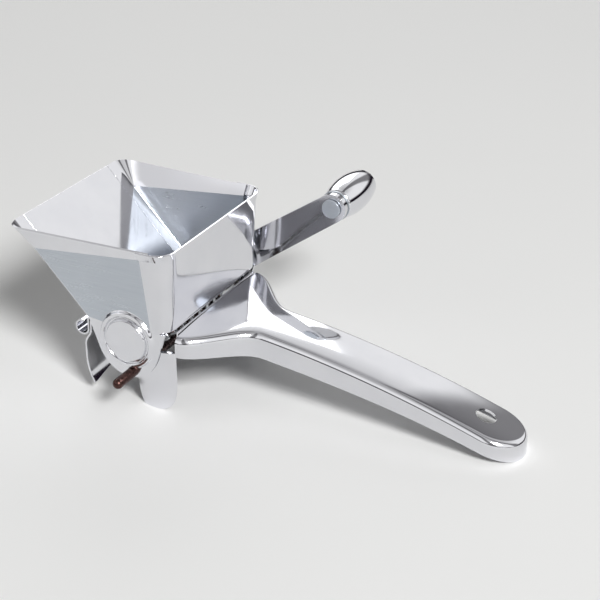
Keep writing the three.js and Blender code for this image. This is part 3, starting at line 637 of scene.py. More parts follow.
def draw_slant_wall(hopper):
    """The sloping front wall with its neck and the rolled edge under it."""
    inside = hopper.curl_radius - hopper.sheet
    neck = -hopper.front_floor - hopper.sheet / 2
    curl_height = hopper.floor_height - hopper.curl_drop
    curl_half = hopper.half_width - hopper.sheet - GAP
    floor = hopper.floor_height
    bend = 0.6 * MM
    bow = 0.02 * MM
    widening = 2.0 * MM
    stations = []
    for share in (0, 0.25, 0.5, 0.75, 1):
        height = between(hopper.rim_height, floor + bend, share)
        stations.append((-front_reach(hopper, height), height, hopper.seam_half))
    stations.append((neck - bow, floor, hopper.seam_half))
    stations.append((neck, floor - bend, hopper.seam_half))
    stations.append((neck, floor - 2 * bend, hopper.seam_half))
    stations.append((neck, floor - widening, curl_half))
    curl_steps = 28
    curl_turn = 290
    for i in range(curl_steps + 1):
        x, z = on_circle(inside, -curl_turn * i / curl_steps)
        stations.append((neck - inside + x, curl_height + z, curl_half))
    columns, rows = 12, len(stations) - 1

    def wall(across, along):
        """A point of the sheet, at one of its stations from the rim down to the curl's end."""
        x, z, half = stations[round(along * rows)]
        return Vector((x, between(-half, half, across), z))

    bm = bmesh.new()
    lay_sheet(bm, columns, rows, wall)
    bmesh.ops.recalc_face_normals(bm, faces=bm.faces)
    panel = max(bm.faces, key=lambda item: item.calc_area())
    if panel.normal.x > 0:
        bmesh.ops.reverse_faces(bm, faces=bm.faces)
    return bm


def draw_rear_wall(hopper):
    """The rear wall with its round corners and the tapered flanges that lap over the end plates."""
    flange, arc, back = 6, 10, 4
    half_columns = flange + arc + back
    low_rows, band_rows = 5, 3
    radius = hopper.rear_corner + hopper.lap
    rear_crease = hopper.rim_height - hopper.band_rear
    crease_edge = between(hopper.flange_low, hopper.flange_high, wall_share(hopper, rear_crease))
    crease_reach = rear_reach(hopper, rear_crease) + hopper.lap
    straight = hopper.half_width + hopper.lap

    def plan(column, edge, reach, half_at):
        """Point of the wall's plan at a column, counted from the flange's edge."""
        corner_x = reach - radius
        edge_turn = math.asin(max((edge - corner_x) / radius, 0))
        if column <= flange and edge < corner_x:
            x = between(edge, corner_x, column / flange)
            return x, half_at(x)
        share = min(max(column - flange, 0), arc) / arc
        angle = between(edge_turn, math.pi / 2, share)
        x = corner_x + radius * math.sin(angle)
        half = half_at(x) - radius + radius * math.cos(angle)
        return x, half * (1 - max(column - flange - arc, 0) / back)

    def wall(across, along):
        """A point of the wall: from the floor up to the crease, and then out to the rim."""
        place = across * 2 * half_columns
        side = -1 if place < half_columns else 1
        column = place if side < 0 else 2 * half_columns - place
        row = along * (low_rows + band_rows)
        mid_x, mid_half = plan(column, crease_edge, crease_reach, lambda x: straight)
        mid = Vector((mid_x, side * mid_half, crease_height(hopper, mid_x)))
        if row <= low_rows:
            x, half = plan(column, hopper.flange_low, hopper.rear_floor + hopper.lap, lambda x: straight)
            return Vector((x, side * half, hopper.floor_height)).lerp(mid, row / low_rows)
        x, half = plan(column, hopper.flange_high, hopper.rear_rim + hopper.lap,
                       lambda x: rim_half(hopper, x) + hopper.lap)
        return mid.lerp(Vector((x, side * half, hopper.rim_height)), (row - low_rows) / band_rows)

    bm = bmesh.new()
    lay_sheet(bm, 2 * half_columns, low_rows + band_rows, wall)
    face_out(bm, Vector((1, 0, 0)))
    return bm


def draw_cheek(hopper):
    """The sheet under the rolled edge: swollen out, tucked in at its foot, arched, with pointed ends."""
    half = CHEEK_HIGH.y
    point = 1.5 * MM
    top, low = CHEEK_HIGH.z, CHEEK_LOW.z
    outside = hopper.sheet / 2 + GAP - hopper.front_floor
    swell_start, swell_end = 0.5 * MM, 7 * MM
    tuck_top = -13 * MM
    columns, rows = 46, 32

    def cheek(across, along):
        """A point of the sheet, from its top down to its arched edge."""
        y = between(-half, half, across)
        bottom = low + hopper.cheek_arch * max(1 - (y / (half - point)) ** 2, 0)
        height = between(top, bottom, along)
        swell = hopper.cheek_swell * smooth(swell_start, swell_end, -height)
        tuck = hopper.cheek_tuck * max((tuck_top - height) / (tuck_top - low), 0) ** 2
        return Vector((outside - swell + tuck, y, height))

    bm = bmesh.new()
    lay_sheet(bm, columns, rows, cheek)
    face_out(bm, Vector((-1, 0, 0)))
    return bm


def draw_apron():
    """The sheet under the rear wall that carries the handle, with rounded lower corners."""
    rounding = 2.5 * MM

    def apron(across, along):
        """A corner of the flat sheet."""
        y = between(APRON_LOW.y, APRON_HIGH.y, across)
        return Vector((APRON_HIGH.x, y, between(APRON_LOW.z, APRON_HIGH.z, along)))

    bm = bmesh.new()
    made = lay_sheet(bm, 1, 1, apron)
    lower = [corner for corner in made if corner.co.z < 0]
    bmesh.ops.bevel(bm, geom=lower, offset=rounding, affect="VERTICES", segments=8, profile=0.5,
                    material=-1)
    face_out(bm, Vector((1, 0, 0)))
    return bm


def draw_foot(hopper, rotor, side):
    """One foot: a thumb with a flat tip, bowed out towards the tongue and hollowed round the bush."""
    left, right = FOOT_LOW.x, FOOT_HIGH.x
    low, top = FOOT_LOW.z, FOOT_HIGH.z
    shoulder = low + 13 * MM
    tip_left, tip_right = left + 2.6 * MM, left + 9.6 * MM
    tuck_in = 1.2 * MM
    clear = rotor.bush_radius + CLEAR
    face = FOOT_LOW.y
    middle = (left + right) / 2
    bulge = hopper.foot_bulge
    columns, rows = 28, 36

    def thumb(across, along):
        """A point of the sheet: the lower half rounds the tip, the upper half reaches up to the bush."""
        turn = max(1 - 2 * along, 0)
        height = low + (shoulder - low) * (1 - turn) ** 2
        x = between(between(left, tip_left, turn ** 2), between(right, tip_right, turn ** 2), across)
        if along > 0.5:
            ceiling = -math.sqrt(max(clear ** 2 - x ** 2, top ** 2))
            height = between(shoulder, ceiling, 2 * along - 1)
        bow = bulge - math.sqrt(bulge ** 2 - (x - middle) ** 2)
        tuck = tuck_in * smooth(shoulder, low, height) ** 2
        return Vector((x, -side * (face + bow + tuck), height))

    bm = bmesh.new()
    lay_sheet(bm, columns, rows, thumb)
    face_out(bm, Vector((0, side, 0)))
    return bm


def draw_comb(hopper, rotor, side):
    """One slotted floor plate of the hopper, whose fingers reach between the cutting discs."""
    low, high = span("front_comb") if side < 0 else span("rear_comb")
    outer = Vector((low.x if side < 0 else high.x, 0, hopper.floor_height))
    sheet = 1.2 * MM
    tip_angle = 20
    tip_x, tip_z = on_circle(rotor.spacer_radius + CLEAR, tip_angle)
    along = Vector((side * tip_x, 0, tip_z)) - outer
    depth = along.length
    along.normalize()
    slot_radius = rotor.disc_radius + CLEAR
    nearest = -outer.dot(along)
    slot_start = nearest - math.sqrt(slot_radius ** 2 - outer.length_squared + nearest ** 2)
    half = high.y
    slot_half = rotor.disc_sheet / 2 + CLEAR
    tip_half = -span("near_bush")[1].y - GAP
    chamfer = 0.7 * MM
    outline = [(0, chamfer - half), (chamfer, -half), (slot_start, -half),
               (slot_start, -tip_half), (depth, -tip_half)]
    for number in range(1, DISC_COUNT + 1):
        first, last = span("cutter_disc_%d" % number)
        middle = (first.y + last.y) / 2
        outline += [(depth, middle - slot_half), (slot_start, middle - slot_half),
                    (slot_start, middle + slot_half), (depth, middle + slot_half)]
    outline += [(depth, tip_half), (slot_start, tip_half),
                (slot_start, half), (chamfer, half), (0, half - chamfer)]
    up = along.cross(Vector((0, 1, 0))) * -side
    bm = bmesh.new()
    filled = fill_outline(bm, [outer + along * reach + Vector((0, y, 0)) for reach, y in outline])
    thicken(bm, filled, up * sheet)
    return bm


def draw_tie_rod(hopper):
    """The rod through both tongues, with a rounded near end."""
    radius = hopper.rod_radius
    start, end = ROD_LOW.y, ROD_HIGH.y
    dome = [(radius * math.sin(turn), start + radius * (1 - math.cos(turn))) for turn in quarter_turn(10)]
    bm = bmesh.new()
    lathe(bm, dome + [(radius, end), (0, end)], steps=48)
    middle = (ROD_LOW + ROD_HIGH) / 2
    bmesh.ops.translate(bm, verts=bm.verts, vec=(middle.x, 0, middle.z))
    return bm


def draw_domed_nut(radius, height, dome, start, middle=(0, 0)):
    """A six-sided nut with a domed cap, along the shaft from start."""
    bm = bmesh.new()
    flat = radius * math.cos(math.pi / 6)
    # The cap starts a little below the nut's top and inside its flats.
    sunk, inset = 0.1 * MM, 0.96
    cap = domed_head(flat, start + height - sunk + dome, dome, 12)
    cap[0] = (flat * inset, cap[0][1])
    lathe(bm, [(0, start + height / 2)] + cap, steps=48)
    hexagon = bmesh.ops.create_cone(bm, cap_ends=True, segments=6, radius1=radius, radius2=radius,
                                    depth=height)["verts"]
    bmesh.ops.rotate(bm, verts=hexagon, cent=(0, 0, 0), matrix=Matrix.Rotation(math.pi / 2, 3, "X"))
    bmesh.ops.translate(bm, verts=hexagon, vec=(0, start + height / 2, 0))
    bmesh.ops.translate(bm, verts=bm.verts, vec=(middle[0], 0, middle[1]))
    return bm


HANDLE_LENGTH = HANDLE_HIGH.x - HANDLE_LOW.x
# Slope of the handle's back at its root
HANDLE_DIP = 0.06
# Part of the sides that is cut off level at the tail, where they rest on the table
TAIL_TRIM = 0.5 * MM


def handle_half(handle, distance):
    """Half the width of the handle before its tail is rounded off: flared at the root."""
    return between(handle.root_half, handle.grip_half, smooth(0, handle.flare, distance))


def handle_top(handle, distance):
    """Height of the middle of the handle's back, which falls to the table in one bend."""
    tail_top = HANDLE_LOW.z + handle.tail_skirt - TAIL_TRIM
    bend = (HANDLE_HIGH.z - HANDLE_DIP * HANDLE_LENGTH - tail_top) / HANDLE_LENGTH ** 2
    return HANDLE_HIGH.z - HANDLE_DIP * distance - bend * distance ** 2


def handle_back(handle, place):
    """Height of the crowned back at a place, given as the distance from the root and y."""
    return handle_top(handle, place.x) - handle.crown * (place.y / handle_half(handle, place.x)) ** 2


def handle_low(handle, distance):
    """Height of the lower edge of the handle's sides, which rest on the table at the tail."""
    grip = between(handle.root_skirt, handle.grip_skirt, smooth(0, handle.flare, distance))
    skirt = between(grip, handle.tail_skirt, smooth(handle.flare, HANDLE_LENGTH, distance))
    return max(handle_top(handle, distance) - skirt, HANDLE_LOW.z)


def handle_rim(handle):
    """One side of the handle's outline, root to tail: each place, its way out, and where the back ends."""
    tail = HANDLE_LENGTH - handle.tail_round
    hole = HANDLE_LENGTH - handle.hang_inset
    hole_start = hole - handle.hang_hole
    runs = ((0, handle.flare, 18), (handle.flare, hole_start, 24), (hole_start, tail, 5))
    rim = []
    for first, last, steps in runs:
        for i in range(steps):
            distance = between(first, last, i / steps)
            half = handle_half(handle, distance)
            lean = (handle_half(handle, distance + WELD) - half) / WELD
            rim.append((Vector((distance, half)), Vector((-lean, 1)).normalized()))
    tail_steps = 20
    for i in range(tail_steps + 1):
        across, along = on_circle(1, 90 * (1 - i / tail_steps))
        place = Vector((tail + handle.tail_round * across, handle.grip_half * along))
        rim.append((place, Vector((across / handle.tail_round, along / handle.grip_half)).normalized()))
    straight = sum(steps for _, _, steps in runs[:2])
    round_hole = len(rim) - 1 - straight
    inner = [Vector((place.x, 0)) for place, _ in rim[:straight]]
    for i in range(round_hole + 1):
        across, along = on_circle(handle.hang_hole, 180 * (1 - i / round_hole))
        inner.append(Vector((hole + across, along)))
    return [(place, out, end) for (place, out), end in zip(rim, inner)]


SKIRT_COLUMNS, CORNER_COLUMNS, BACK_COLUMNS = 6, 10, 12


def handle_point(handle, rim, column):
    """A point of the shell at a column: up the side, round the corner and over the back."""
    place, out, inner = rim
    low = handle_low(handle, place.x)
    edge = place - out * handle.corner
    slope = math.atan((handle_back(handle, edge) - handle_back(handle, edge + out * MM)) / MM)
    edge += out * handle.corner * math.sin(slope)
    centre = handle_back(handle, edge) - handle.corner * math.cos(slope)
    if column <= SKIRT_COLUMNS:
        return (*place, between(low, centre, column / SKIRT_COLUMNS))
    if column <= SKIRT_COLUMNS + CORNER_COLUMNS:
        angle = (math.pi / 2 - slope) * (column - SKIRT_COLUMNS) / CORNER_COLUMNS
        spot = place - out * handle.corner * (1 - math.cos(angle))
        return (*spot, centre + handle.corner * math.sin(angle))
    spot = edge.lerp(inner, (column - SKIRT_COLUMNS - CORNER_COLUMNS) / BACK_COLUMNS)
    return (*spot, handle_back(handle, spot))


def draw_handle(handle):
    """The pressed channel handle, closed at its root and round its tail, with a hang hole."""
    rim = handle_rim(handle)
    last = len(rim) - 1
    columns = SKIRT_COLUMNS + CORNER_COLUMNS + BACK_COLUMNS

    def shell(across, along):
        """A point of the shell: along one side to the tail, and back along the other."""
        station = round(along * 2 * last)
        side = 1 if station <= last else -1
        mirrored = min(station, 2 * last - station)
        distance, y, z = handle_point(handle, rim[mirrored], round(across * columns))
        return Vector((HANDLE_LOW.x + distance, side * y, z))

    def at_root(line):
        """Whether an edge lies in the plane of the root."""
        return all(abs(corner.co.x - HANDLE_LOW.x) < WELD for corner in line.verts)

    bm = bmesh.new()
    lay_sheet(bm, columns, 2 * last, shell)
    bmesh.ops.remove_doubles(bm, verts=bm.verts, dist=WELD)
    root = [line for line in bm.edges if at_root(line)]
    feet = [corner for corner in {corner for line in root for corner in line.verts}
            if sum(line in root for line in corner.link_edges) == 1]
    bmesh.ops.edgeloop_fill(bm, edges=root + [bm.edges.new(feet)])
    face_out(bm, Vector((0, 0, 1)))
    return bm


def draw_pin(head, shank, low, high, steps):
    """A pin along the shaft's line, with a flat head at its low end and a domed head at its high end."""
    height = 1.0 * MM
    profile = [(0, low), (head, low), (head, low + height), (shank, low + height), (shank, high - height)]
    bm = bmesh.new()
    lathe(bm, profile + domed_head(head, high, height, 8), steps=steps)
    return bm


def draw_rivet(handle, node):
    """A rivet through the apron and the handle's root, with a flat inner head and a domed outer one."""
    low, high = span(node)
    shank = 1.5 * MM
    bm = draw_pin(handle.rivet_head, shank, low.x, high.x, steps=40)
    bmesh.ops.rotate(bm, verts=bm.verts, cent=(0, 0, 0), matrix=Matrix.Rotation(-math.pi / 2, 3, "Z"))
    bmesh.ops.translate(bm, verts=bm.verts, vec=(0, (low.y + high.y) / 2, (low.z + high.z) / 2))
    return bm


def draw_tube(node, inner, outer, middle=(0, 0)):
    """A ring or tube along the shaft that is as long as its node."""
    low, high = span(node)
    bm = bmesh.new()
    lathe(bm, [(inner, low.y), (outer, low.y), (outer, high.y), (inner, high.y)], closed=True)
    bmesh.ops.translate(bm, verts=bm.verts, vec=(middle[0], 0, middle[1]))
    return bm


def draw_shaft(rotor):
    """The shaft, stepped down to the stud that carries the crank."""
    shoulder = span("crank_arm")[0].y - GAP
    stud = rotor.stud_radius
    bm = bmesh.new()
    lathe(bm, [(0, SHAFT_LOW.y), (rotor.shaft_radius, SHAFT_LOW.y), (rotor.shaft_radius, shoulder),
               (stud, shoulder), (stud, SHAFT_HIGH.y), (0, SHAFT_HIGH.y)])
    return bm


def grow_ring(bm, lines, place):
    """Extrudes a ring of edges, puts each new corner where place says, and returns the new ring."""
    made = bmesh.ops.extrude_edge_only(bm, edges=lines)["geom"]
    corners = [item for item in made if isinstance(item, bmesh.types.BMVert)]
    for corner in corners:
        corner.co = place(corner.co)
    grown = set(corners)
    return [item for item in made if isinstance(item, bmesh.types.BMEdge) and grown.issuperset(item.verts)]


def draw_disc(rotor, number):
    """A cutting disc: hooked points that climb slowly and drop back steeply, ground thin at their edges."""
    low, high = span("cutter_disc_%d" % number)
    middle = (low.y + high.y) / 2
    thick = rotor.disc_sheet / 2
    thin = rotor.cutting_edge / 2
    bore = rotor.shaft_radius + PLAY
    grind = 1.3 * MM
    climb = 0.8
    hook = 1.8
    samples = 20

    def point_radius(angle):
        """Radius of the toothed edge at an angle."""
        share = (angle / math.tau * rotor.teeth) % 1
        share = round(share * samples) / samples % 1
        if share <= climb:
            return rotor.disc_radius - rotor.tooth_depth * (1 - (share / climb) ** hook)
        return rotor.disc_radius - rotor.tooth_depth * (share - climb) / (1 - climb)

    def at(radius_at, y):
        """A place function that moves a corner straight out or in, to a radius and to a y."""
        def place(corner):
            angle = math.atan2(corner.z, corner.x)
            radius = radius_at(angle)
            return Vector((radius * math.cos(angle), y, radius * math.sin(angle)))
        return place

    def ground(angle):
        """Radius at which the ground edge starts."""
        return point_radius(angle) - grind

    def hole(angle):
        """Radius of the bore, the same at every angle."""
        return bore

    bm = bmesh.new()
    circle = bmesh.ops.create_circle(bm, segments=rotor.teeth * samples, radius=bore, cap_ends=False)
    for corner in circle["verts"]:
        corner.co = Vector((corner.co.x, middle - thick, corner.co.y))
    lines = list(bm.edges)
    rings = ((ground, middle - thick), (point_radius, middle - thin), (point_radius, middle + thin),
             (ground, middle + thick), (hole, middle + thick), (hole, middle - thick))
    for radius_at, y in rings:
        lines = grow_ring(bm, lines, at(radius_at, y))
    bmesh.ops.remove_doubles(bm, verts=bm.verts, dist=WELD)
    bmesh.ops.recalc_face_normals(bm, faces=bm.faces)
    step = math.tau / rotor.teeth / DISC_COUNT
    spin = Matrix.Rotation((number - 1) * step, 3, "Y")
    bmesh.ops.rotate(bm, verts=bm.verts, cent=(0, 0, 0), matrix=spin)
    return bm


def draw_crank_arm(crank):
    """The flat crank arm, round at both ends, from the shaft out to the knob."""
    low, high = span("crank_arm")
    reach = math.hypot(KNOB_AXIS.x, KNOB_AXIS.z)
    turn = math.atan2(KNOB_AXIS.z, KNOB_AXIS.x)
    side = math.pi / 2 - math.asin((crank.hub_radius - crank.end_radius) / reach)
    steps = 32
    outline = []
    for i in range(steps + 1):
        angle = between(side, math.tau - side, i / steps)
        outline.append((crank.hub_radius * math.cos(angle), crank.hub_radius * math.sin(angle)))
    for i in range(steps + 1):
        angle = between(-side, side, i / steps)
        outline.append((reach + crank.end_radius * math.cos(angle), crank.end_radius * math.sin(angle)))
    bm = bmesh.new()
    filled = fill_outline(bm, [(x, low.y, z) for x, z in outline])
    thicken(bm, filled, Vector((0, high.y - low.y, 0)))
    bmesh.ops.rotate(bm, verts=bm.verts, cent=(0, 0, 0), matrix=Matrix.Rotation(-turn, 3, "Y"))
    return bm


def draw_spindle(crank):
    """The knob's spindle, with a flat head behind the arm and a domed head outside the knob."""
    low, high = span("knob_spindle")
    bm = draw_pin((high.x - low.x) / 2, crank.spindle_radius, low.y, high.y, steps=48)
    bmesh.ops.translate(bm, verts=bm.verts, vec=(KNOB_AXIS.x, 0, KNOB_AXIS.z))
    return bm


def draw_knob(crank):
    """The barrel-shaped steel knob, eased at its ends and bored for the spindle."""
    low, high = span("crank_knob")
    bore = crank.spindle_radius + GAP
    ease = 1.2 * MM
    steps = 24
    swell = crank.knob_radius - crank.knob_end
    barrel = []
    for i in range(steps + 1):
        share = i / steps
        radius = crank.knob_end + swell * (1 - (2 * share - 1) ** 2)
        barrel.append((radius, between(low.y + ease, high.y - ease, share)))
    first, last = [], []
    for turn in quarter_turn(6)[:-1]:
        radius = crank.knob_end - ease + ease * math.sin(turn)
        first.append((radius, low.y + ease - ease * math.cos(turn)))
        last.append((radius, high.y - ease + ease * math.cos(turn)))
    bm = bmesh.new()
    lathe(bm, [(bore, low.y)] + first + barrel + last[::-1] + [(bore, high.y)], closed=True)
    bmesh.ops.translate(bm, verts=bm.verts, vec=(KNOB_AXIS.x, 0, KNOB_AXIS.z))
    return bm


def lay_floor(scene, settings):
    """A wide pale floor, with a faint unevenness so that it isn't one flat colour."""
    material, tree, place = new_finish("pale_matt_board")
    patch = 300 * MM
    dimmed = 0.97
    reach = 4.0
    uneven = add_node(tree, "ShaderNodeTexNoise", {"Scale": 1 / patch, "Detail": 2.0}, {"Vector": place})
    darker = [value * dimmed for value in settings.floor]
    shade = add_node(tree, "ShaderNodeMix", {"data_type": "RGBA", 6: (*settings.floor, 1), 7: (*darker, 1)},
                     {0: uneven.outputs["Fac"]})
    shader = add_node(tree, "ShaderNodeBsdfPrincipled", {"Roughness": 0.85},
                      {"Base Color": shade.outputs[2]})
    add_node(tree, "ShaderNodeOutputMaterial", None, {"Surface": shader.outputs["BSDF"]})
    bm = bmesh.new()
    bmesh.ops.create_grid(bm, x_segments=8, y_segments=8, size=reach)
    mesh = bpy.data.meshes.new("floor")
    bm.to_mesh(mesh)
    bm.free()
    mesh.materials.append(material)
    floor = bpy.data.objects.new("floor", mesh)
    scene.collection.objects.link(floor)


def light_room(scene, settings):
    """A soft pale room; the steel also mirrors a dark band low on its walls and dark upright bars."""
    world = bpy.data.worlds.new("soft_room")
    world.use_nodes = True
    scene.world = world
    tree = world.node_tree
    tree.nodes.clear()
    path = add_node(tree, "ShaderNodeLightPath")
    place = add_node(tree, "ShaderNodeTexCoord").outputs["Generated"]
    split = add_node(tree, "ShaderNodeSeparateXYZ", None, {"Vector": place})
    wander = add_node(tree, "ShaderNodeTexNoise", {"Scale": 1.7, "Detail": 1.0, "Roughness": 0.4},
                      {"Vector": place})
    swayed = add_node(tree, "ShaderNodeMath", {"operation": "MULTIPLY_ADD", 1: 0.6},
                      {0: wander.outputs["Fac"], 2: split.outputs["Z"]})
    wall = add_node(tree, "ShaderNodeMapRange",
                    {"interpolation_type": "SMOOTHSTEP", "From Min": 0.38, "From Max": 0.56},
                    {"Value": swayed.outputs[0]})
    ceiling = add_node(tree, "ShaderNodeMapRange",
                       {"interpolation_type": "SMOOTHSTEP", "From Min": 0.6, "From Max": 0.95,
                        "To Min": 1.0, "To Max": 0.5},
                       {"Value": split.outputs["Z"]})
    turn = add_node(tree, "ShaderNodeMath", {"operation": "ARCTAN2"},
                    {0: split.outputs["Y"], 1: split.outputs["X"]})
    spread = add_node(tree, "ShaderNodeMath", {"operation": "MULTIPLY_ADD", 1: 5.0},
                      {0: turn.outputs[0], 2: swayed.outputs[0]})
    wave = add_node(tree, "ShaderNodeMath", {"operation": "SINE"}, {0: spread.outputs[0]})
    bars = add_node(tree, "ShaderNodeMapRange",
                    {"interpolation_type": "SMOOTHSTEP", "From Min": 0.45, "From Max": 0.85,
                     "To Min": 1.0, "To Max": 0.25},
                    {"Value": wave.outputs[0]})
    open_wall = add_node(tree, "ShaderNodeMath", {"operation": "MULTIPLY"},
                         {0: wall.outputs["Result"], 1: bars.outputs["Result"]})
    lit = add_node(tree, "ShaderNodeMath", {"operation": "MULTIPLY"},
                   {0: open_wall.outputs[0], 1: ceiling.outputs["Result"]})
    room = add_node(tree, "ShaderNodeMix",
                    {"data_type": "RGBA", 6: (*settings.room_dark, 1), 7: (*settings.room_light, 1)},
                    {0: lit.outputs[0]})
    mirrored = add_node(tree, "ShaderNodeBackground", {"Strength": 1.0}, {"Color": room.outputs[2]})
    plain = add_node(tree, "ShaderNodeBackground", {"Color": (*settings.floor, 1), "Strength": 0.16})
    seen = add_node(tree, "ShaderNodeBackground", {"Color": (*settings.floor, 1), "Strength": 1.0})
    metal = add_node(tree, "ShaderNodeMixShader", None,
                     {0: path.outputs["Is Glossy Ray"], 1: plain.outputs[0], 2: mirrored.outputs[0]})
    both = add_node(tree, "ShaderNodeMixShader", None,
                    {0: path.outputs["Is Camera Ray"], 1: metal.outputs[0], 2: seen.outputs[0]})
    add_node(tree, "ShaderNodeOutputWorld", None, {"Surface": both.outputs[0]})


def aim(thing, place, target):
    """Puts a lamp or a camera at a place and turns it to a target."""
    thing.location = place
    thing.rotation_euler = (Vector(target) - Vector(place)).to_track_quat("-Z", "Y").to_euler()


def hang_lamps(scene):
    """Three wide soft lamps: a key from the right, a fill from the left and a rim light from behind."""
    target = (0, 0, 30 * MM)
    # Name, place, width in metres and power in watts
    lamps = (
        ("key_lamp", (2.5, -1.8, 2.5), 1.05, 160.0),
        ("fill_lamp", (-1.2, -1.35, 1.05), 1.2, 2.4),
        ("rim_lamp", (-0.9, 1.5, 1.05), 1.05, 5.5),
    )
    for name, place, width, power in lamps:
        lamp = bpy.data.lights.new(name, "AREA")
        lamp.size = width
        lamp.energy = power
        holder = bpy.data.objects.new(name, lamp)
        scene.collection.objects.link(holder)
        aim(holder, place, target)


def set_camera(scene, settings):
    """The camera at the photograph's angle, with the whole cutter in the frame."""
    camera = bpy.data.cameras.new("camera")
    camera.lens = settings.lens
    camera.sensor_width = 36
    camera.clip_start = 10 * MM
    holder = bpy.data.objects.new("camera", camera)
    scene.collection.objects.link(holder)
    low, high = CAD_BOX
    target = (low + high) / 2
    back = Vector((math.sin(settings.azimuth) * math.cos(settings.elevation),
                   -math.cos(settings.azimuth) * math.cos(settings.elevation),
                   math.sin(settings.elevation)))
    aim(holder, target + back * settings.distance, target)
    scene.camera = holder


class HERBCUTTER_OT_end_plates(bpy.types.Operator):
    """Builds both end plates with their flared bands, tongues and bosses"""

    bl_idname = "herb_cutter.end_plates"
    bl_label = "End plates"

    def execute(self, context):
        hopper = context.scene.cutter_hopper
        finishes = [finish("polished_steel"), finish("satin_steel")]
        for node, side in (("near_end_plate", -1), ("far_end_plate", 1)):
            set_piece(draw_end_plate(hopper, side), node, finishes, sheet=hopper.sheet)
        return {"FINISHED"}


class HERBCUTTER_OT_walls(bpy.types.Operator):
    """Builds the sloping front wall with its rolled edge, and the rear wall"""

    bl_idname = "herb_cutter.walls"
    bl_label = "Front and rear walls"

    def execute(self, context):
        hopper = context.scene.cutter_hopper
        set_piece(draw_slant_wall(hopper), "slant_wall", sheet=hopper.sheet, turn=30)
        set_piece(draw_rear_wall(hopper), "rear_wall", sheet=hopper.sheet)
        return {"FINISHED"}


class HERBCUTTER_OT_combs(bpy.types.Operator):
    """Builds the two slotted floor plates"""

    bl_idname = "herb_cutter.combs"
    bl_label = "Combs"

    def execute(self, context):
        scene = context.scene
        for node, side in (("front_comb", -1), ("rear_comb", 1)):
            set_piece(draw_comb(scene.cutter_hopper, scene.cutter_rotor, side), node, ease=0.15 * MM)
        return {"FINISHED"}


class HERBCUTTER_OT_cheek_and_apron(bpy.types.Operator):
    """Builds the cheek under the front wall and the apron under the rear wall"""

    bl_idname = "herb_cutter.cheek_and_apron"
    bl_label = "Cheek and apron"

    def execute(self, context):
        hopper = context.scene.cutter_hopper
        set_piece(draw_cheek(hopper), "front_cheek", sheet=hopper.sheet)
        set_piece(draw_apron(), "rear_apron", sheet=APRON_HIGH.x - APRON_LOW.x)
        return {"FINISHED"}


class HERBCUTTER_OT_feet(bpy.types.Operator):
    """Builds the two thumb-shaped feet"""

    bl_idname = "herb_cutter.feet"
    bl_label = "Feet"

    def execute(self, context):
        hopper = context.scene.cutter_hopper
        for node, side in (("near_foot", -1), ("far_foot", 1)):
            foot = draw_foot(hopper, context.scene.cutter_rotor, side)
            set_piece(foot, node, sheet=hopper.foot_sheet, ease=0.4 * MM)
        return {"FINISHED"}


class HERBCUTTER_OT_tie_rod(bpy.types.Operator):
    """Builds the tie rod and its domed nut"""

    bl_idname = "herb_cutter.tie_rod"
    bl_label = "Tie rod"

    def execute(self, context):
        hopper = context.scene.cutter_hopper
        set_piece(draw_tie_rod(hopper), "tie_rod", ease=0)
        low, high = span("tie_nut")
        middle = ((ROD_LOW.x + ROD_HIGH.x) / 2, (ROD_LOW.z + ROD_HIGH.z) / 2)
        dome = high.y - low.y - hopper.nut_height
        nut = draw_domed_nut(hopper.nut_radius, hopper.nut_height, dome, low.y, middle)
        set_piece(nut, "tie_nut", ease=0.25 * MM)
        return {"FINISHED"}


class HERBCUTTER_OT_handle(bpy.types.Operator):
    """Builds the channel handle and the rivets that hold it"""

    bl_idname = "herb_cutter.handle"
    bl_label = "Handle"

    def execute(self, context):
        handle = context.scene.cutter_handle
        set_piece(draw_handle(handle), "handle_shell", sheet=handle.sheet, ease=0.3 * MM, turn=30)
        for number in range(1, RIVET_COUNT + 1):
            node = "handle_rivet_%d" % number
            set_piece(draw_rivet(handle, node), node, ease=0.15 * MM, turn=40)
        return {"FINISHED"}


class HERBCUTTER_OT_rotor(bpy.types.Operator):
    """Builds the shaft with its discs, spacers, collars and bushes"""

    bl_idname = "herb_cutter.rotor"
    bl_label = "Rotor"

    def execute(self, context):
        rotor = context.scene.cutter_rotor
        set_piece(draw_shaft(rotor), "rotor_shaft", ease=0.3 * MM)
        for number in range(1, DISC_COUNT + 1):
            set_piece(draw_disc(rotor, number), "cutter_disc_%d" % number, ease=0)
        rings = ["near_collar", "far_collar"] + ["spacer_%d" % number for number in range(1, DISC_COUNT)]
        for node in rings:
            set_piece(draw_tube(node, rotor.shaft_radius, rotor.spacer_radius), node, ease=0.3 * MM)
        for node in ("near_bush", "far_bush"):
            bush = draw_tube(node, rotor.shaft_radius + GAP, rotor.bush_radius)
            set_piece(bush, node, ease=0.4 * MM)
        return {"FINISHED"}


class HERBCUTTER_OT_crank(bpy.types.Operator):
    """Builds the crank arm with its spacer, washer and domed nut"""

    bl_idname = "herb_cutter.crank"
    bl_label = "Crank"

    def execute(self, context):
        crank = context.scene.cutter_crank
        rotor = context.scene.cutter_rotor
        low, high = span("crank_spacer")
        spacer = draw_tube("crank_spacer", rotor.shaft_radius + PLAY, (high.x - low.x) / 2)
        set_piece(spacer, "crank_spacer", ease=0.3 * MM)
        set_piece(draw_crank_arm(crank), "crank_arm", ease=0.5 * MM)
        washer = draw_tube("crank_washer", rotor.stud_radius + PLAY, crank.washer_radius)
        set_piece(washer, "crank_washer", ease=0.2 * MM)
        low, high = span("crank_nut")
        dome = high.y - low.y - crank.nut_height
        nut = draw_domed_nut(crank.nut_radius, crank.nut_height, dome, low.y)
        set_piece(nut, "crank_nut", ease=0.3 * MM)
        return {"FINISHED"}


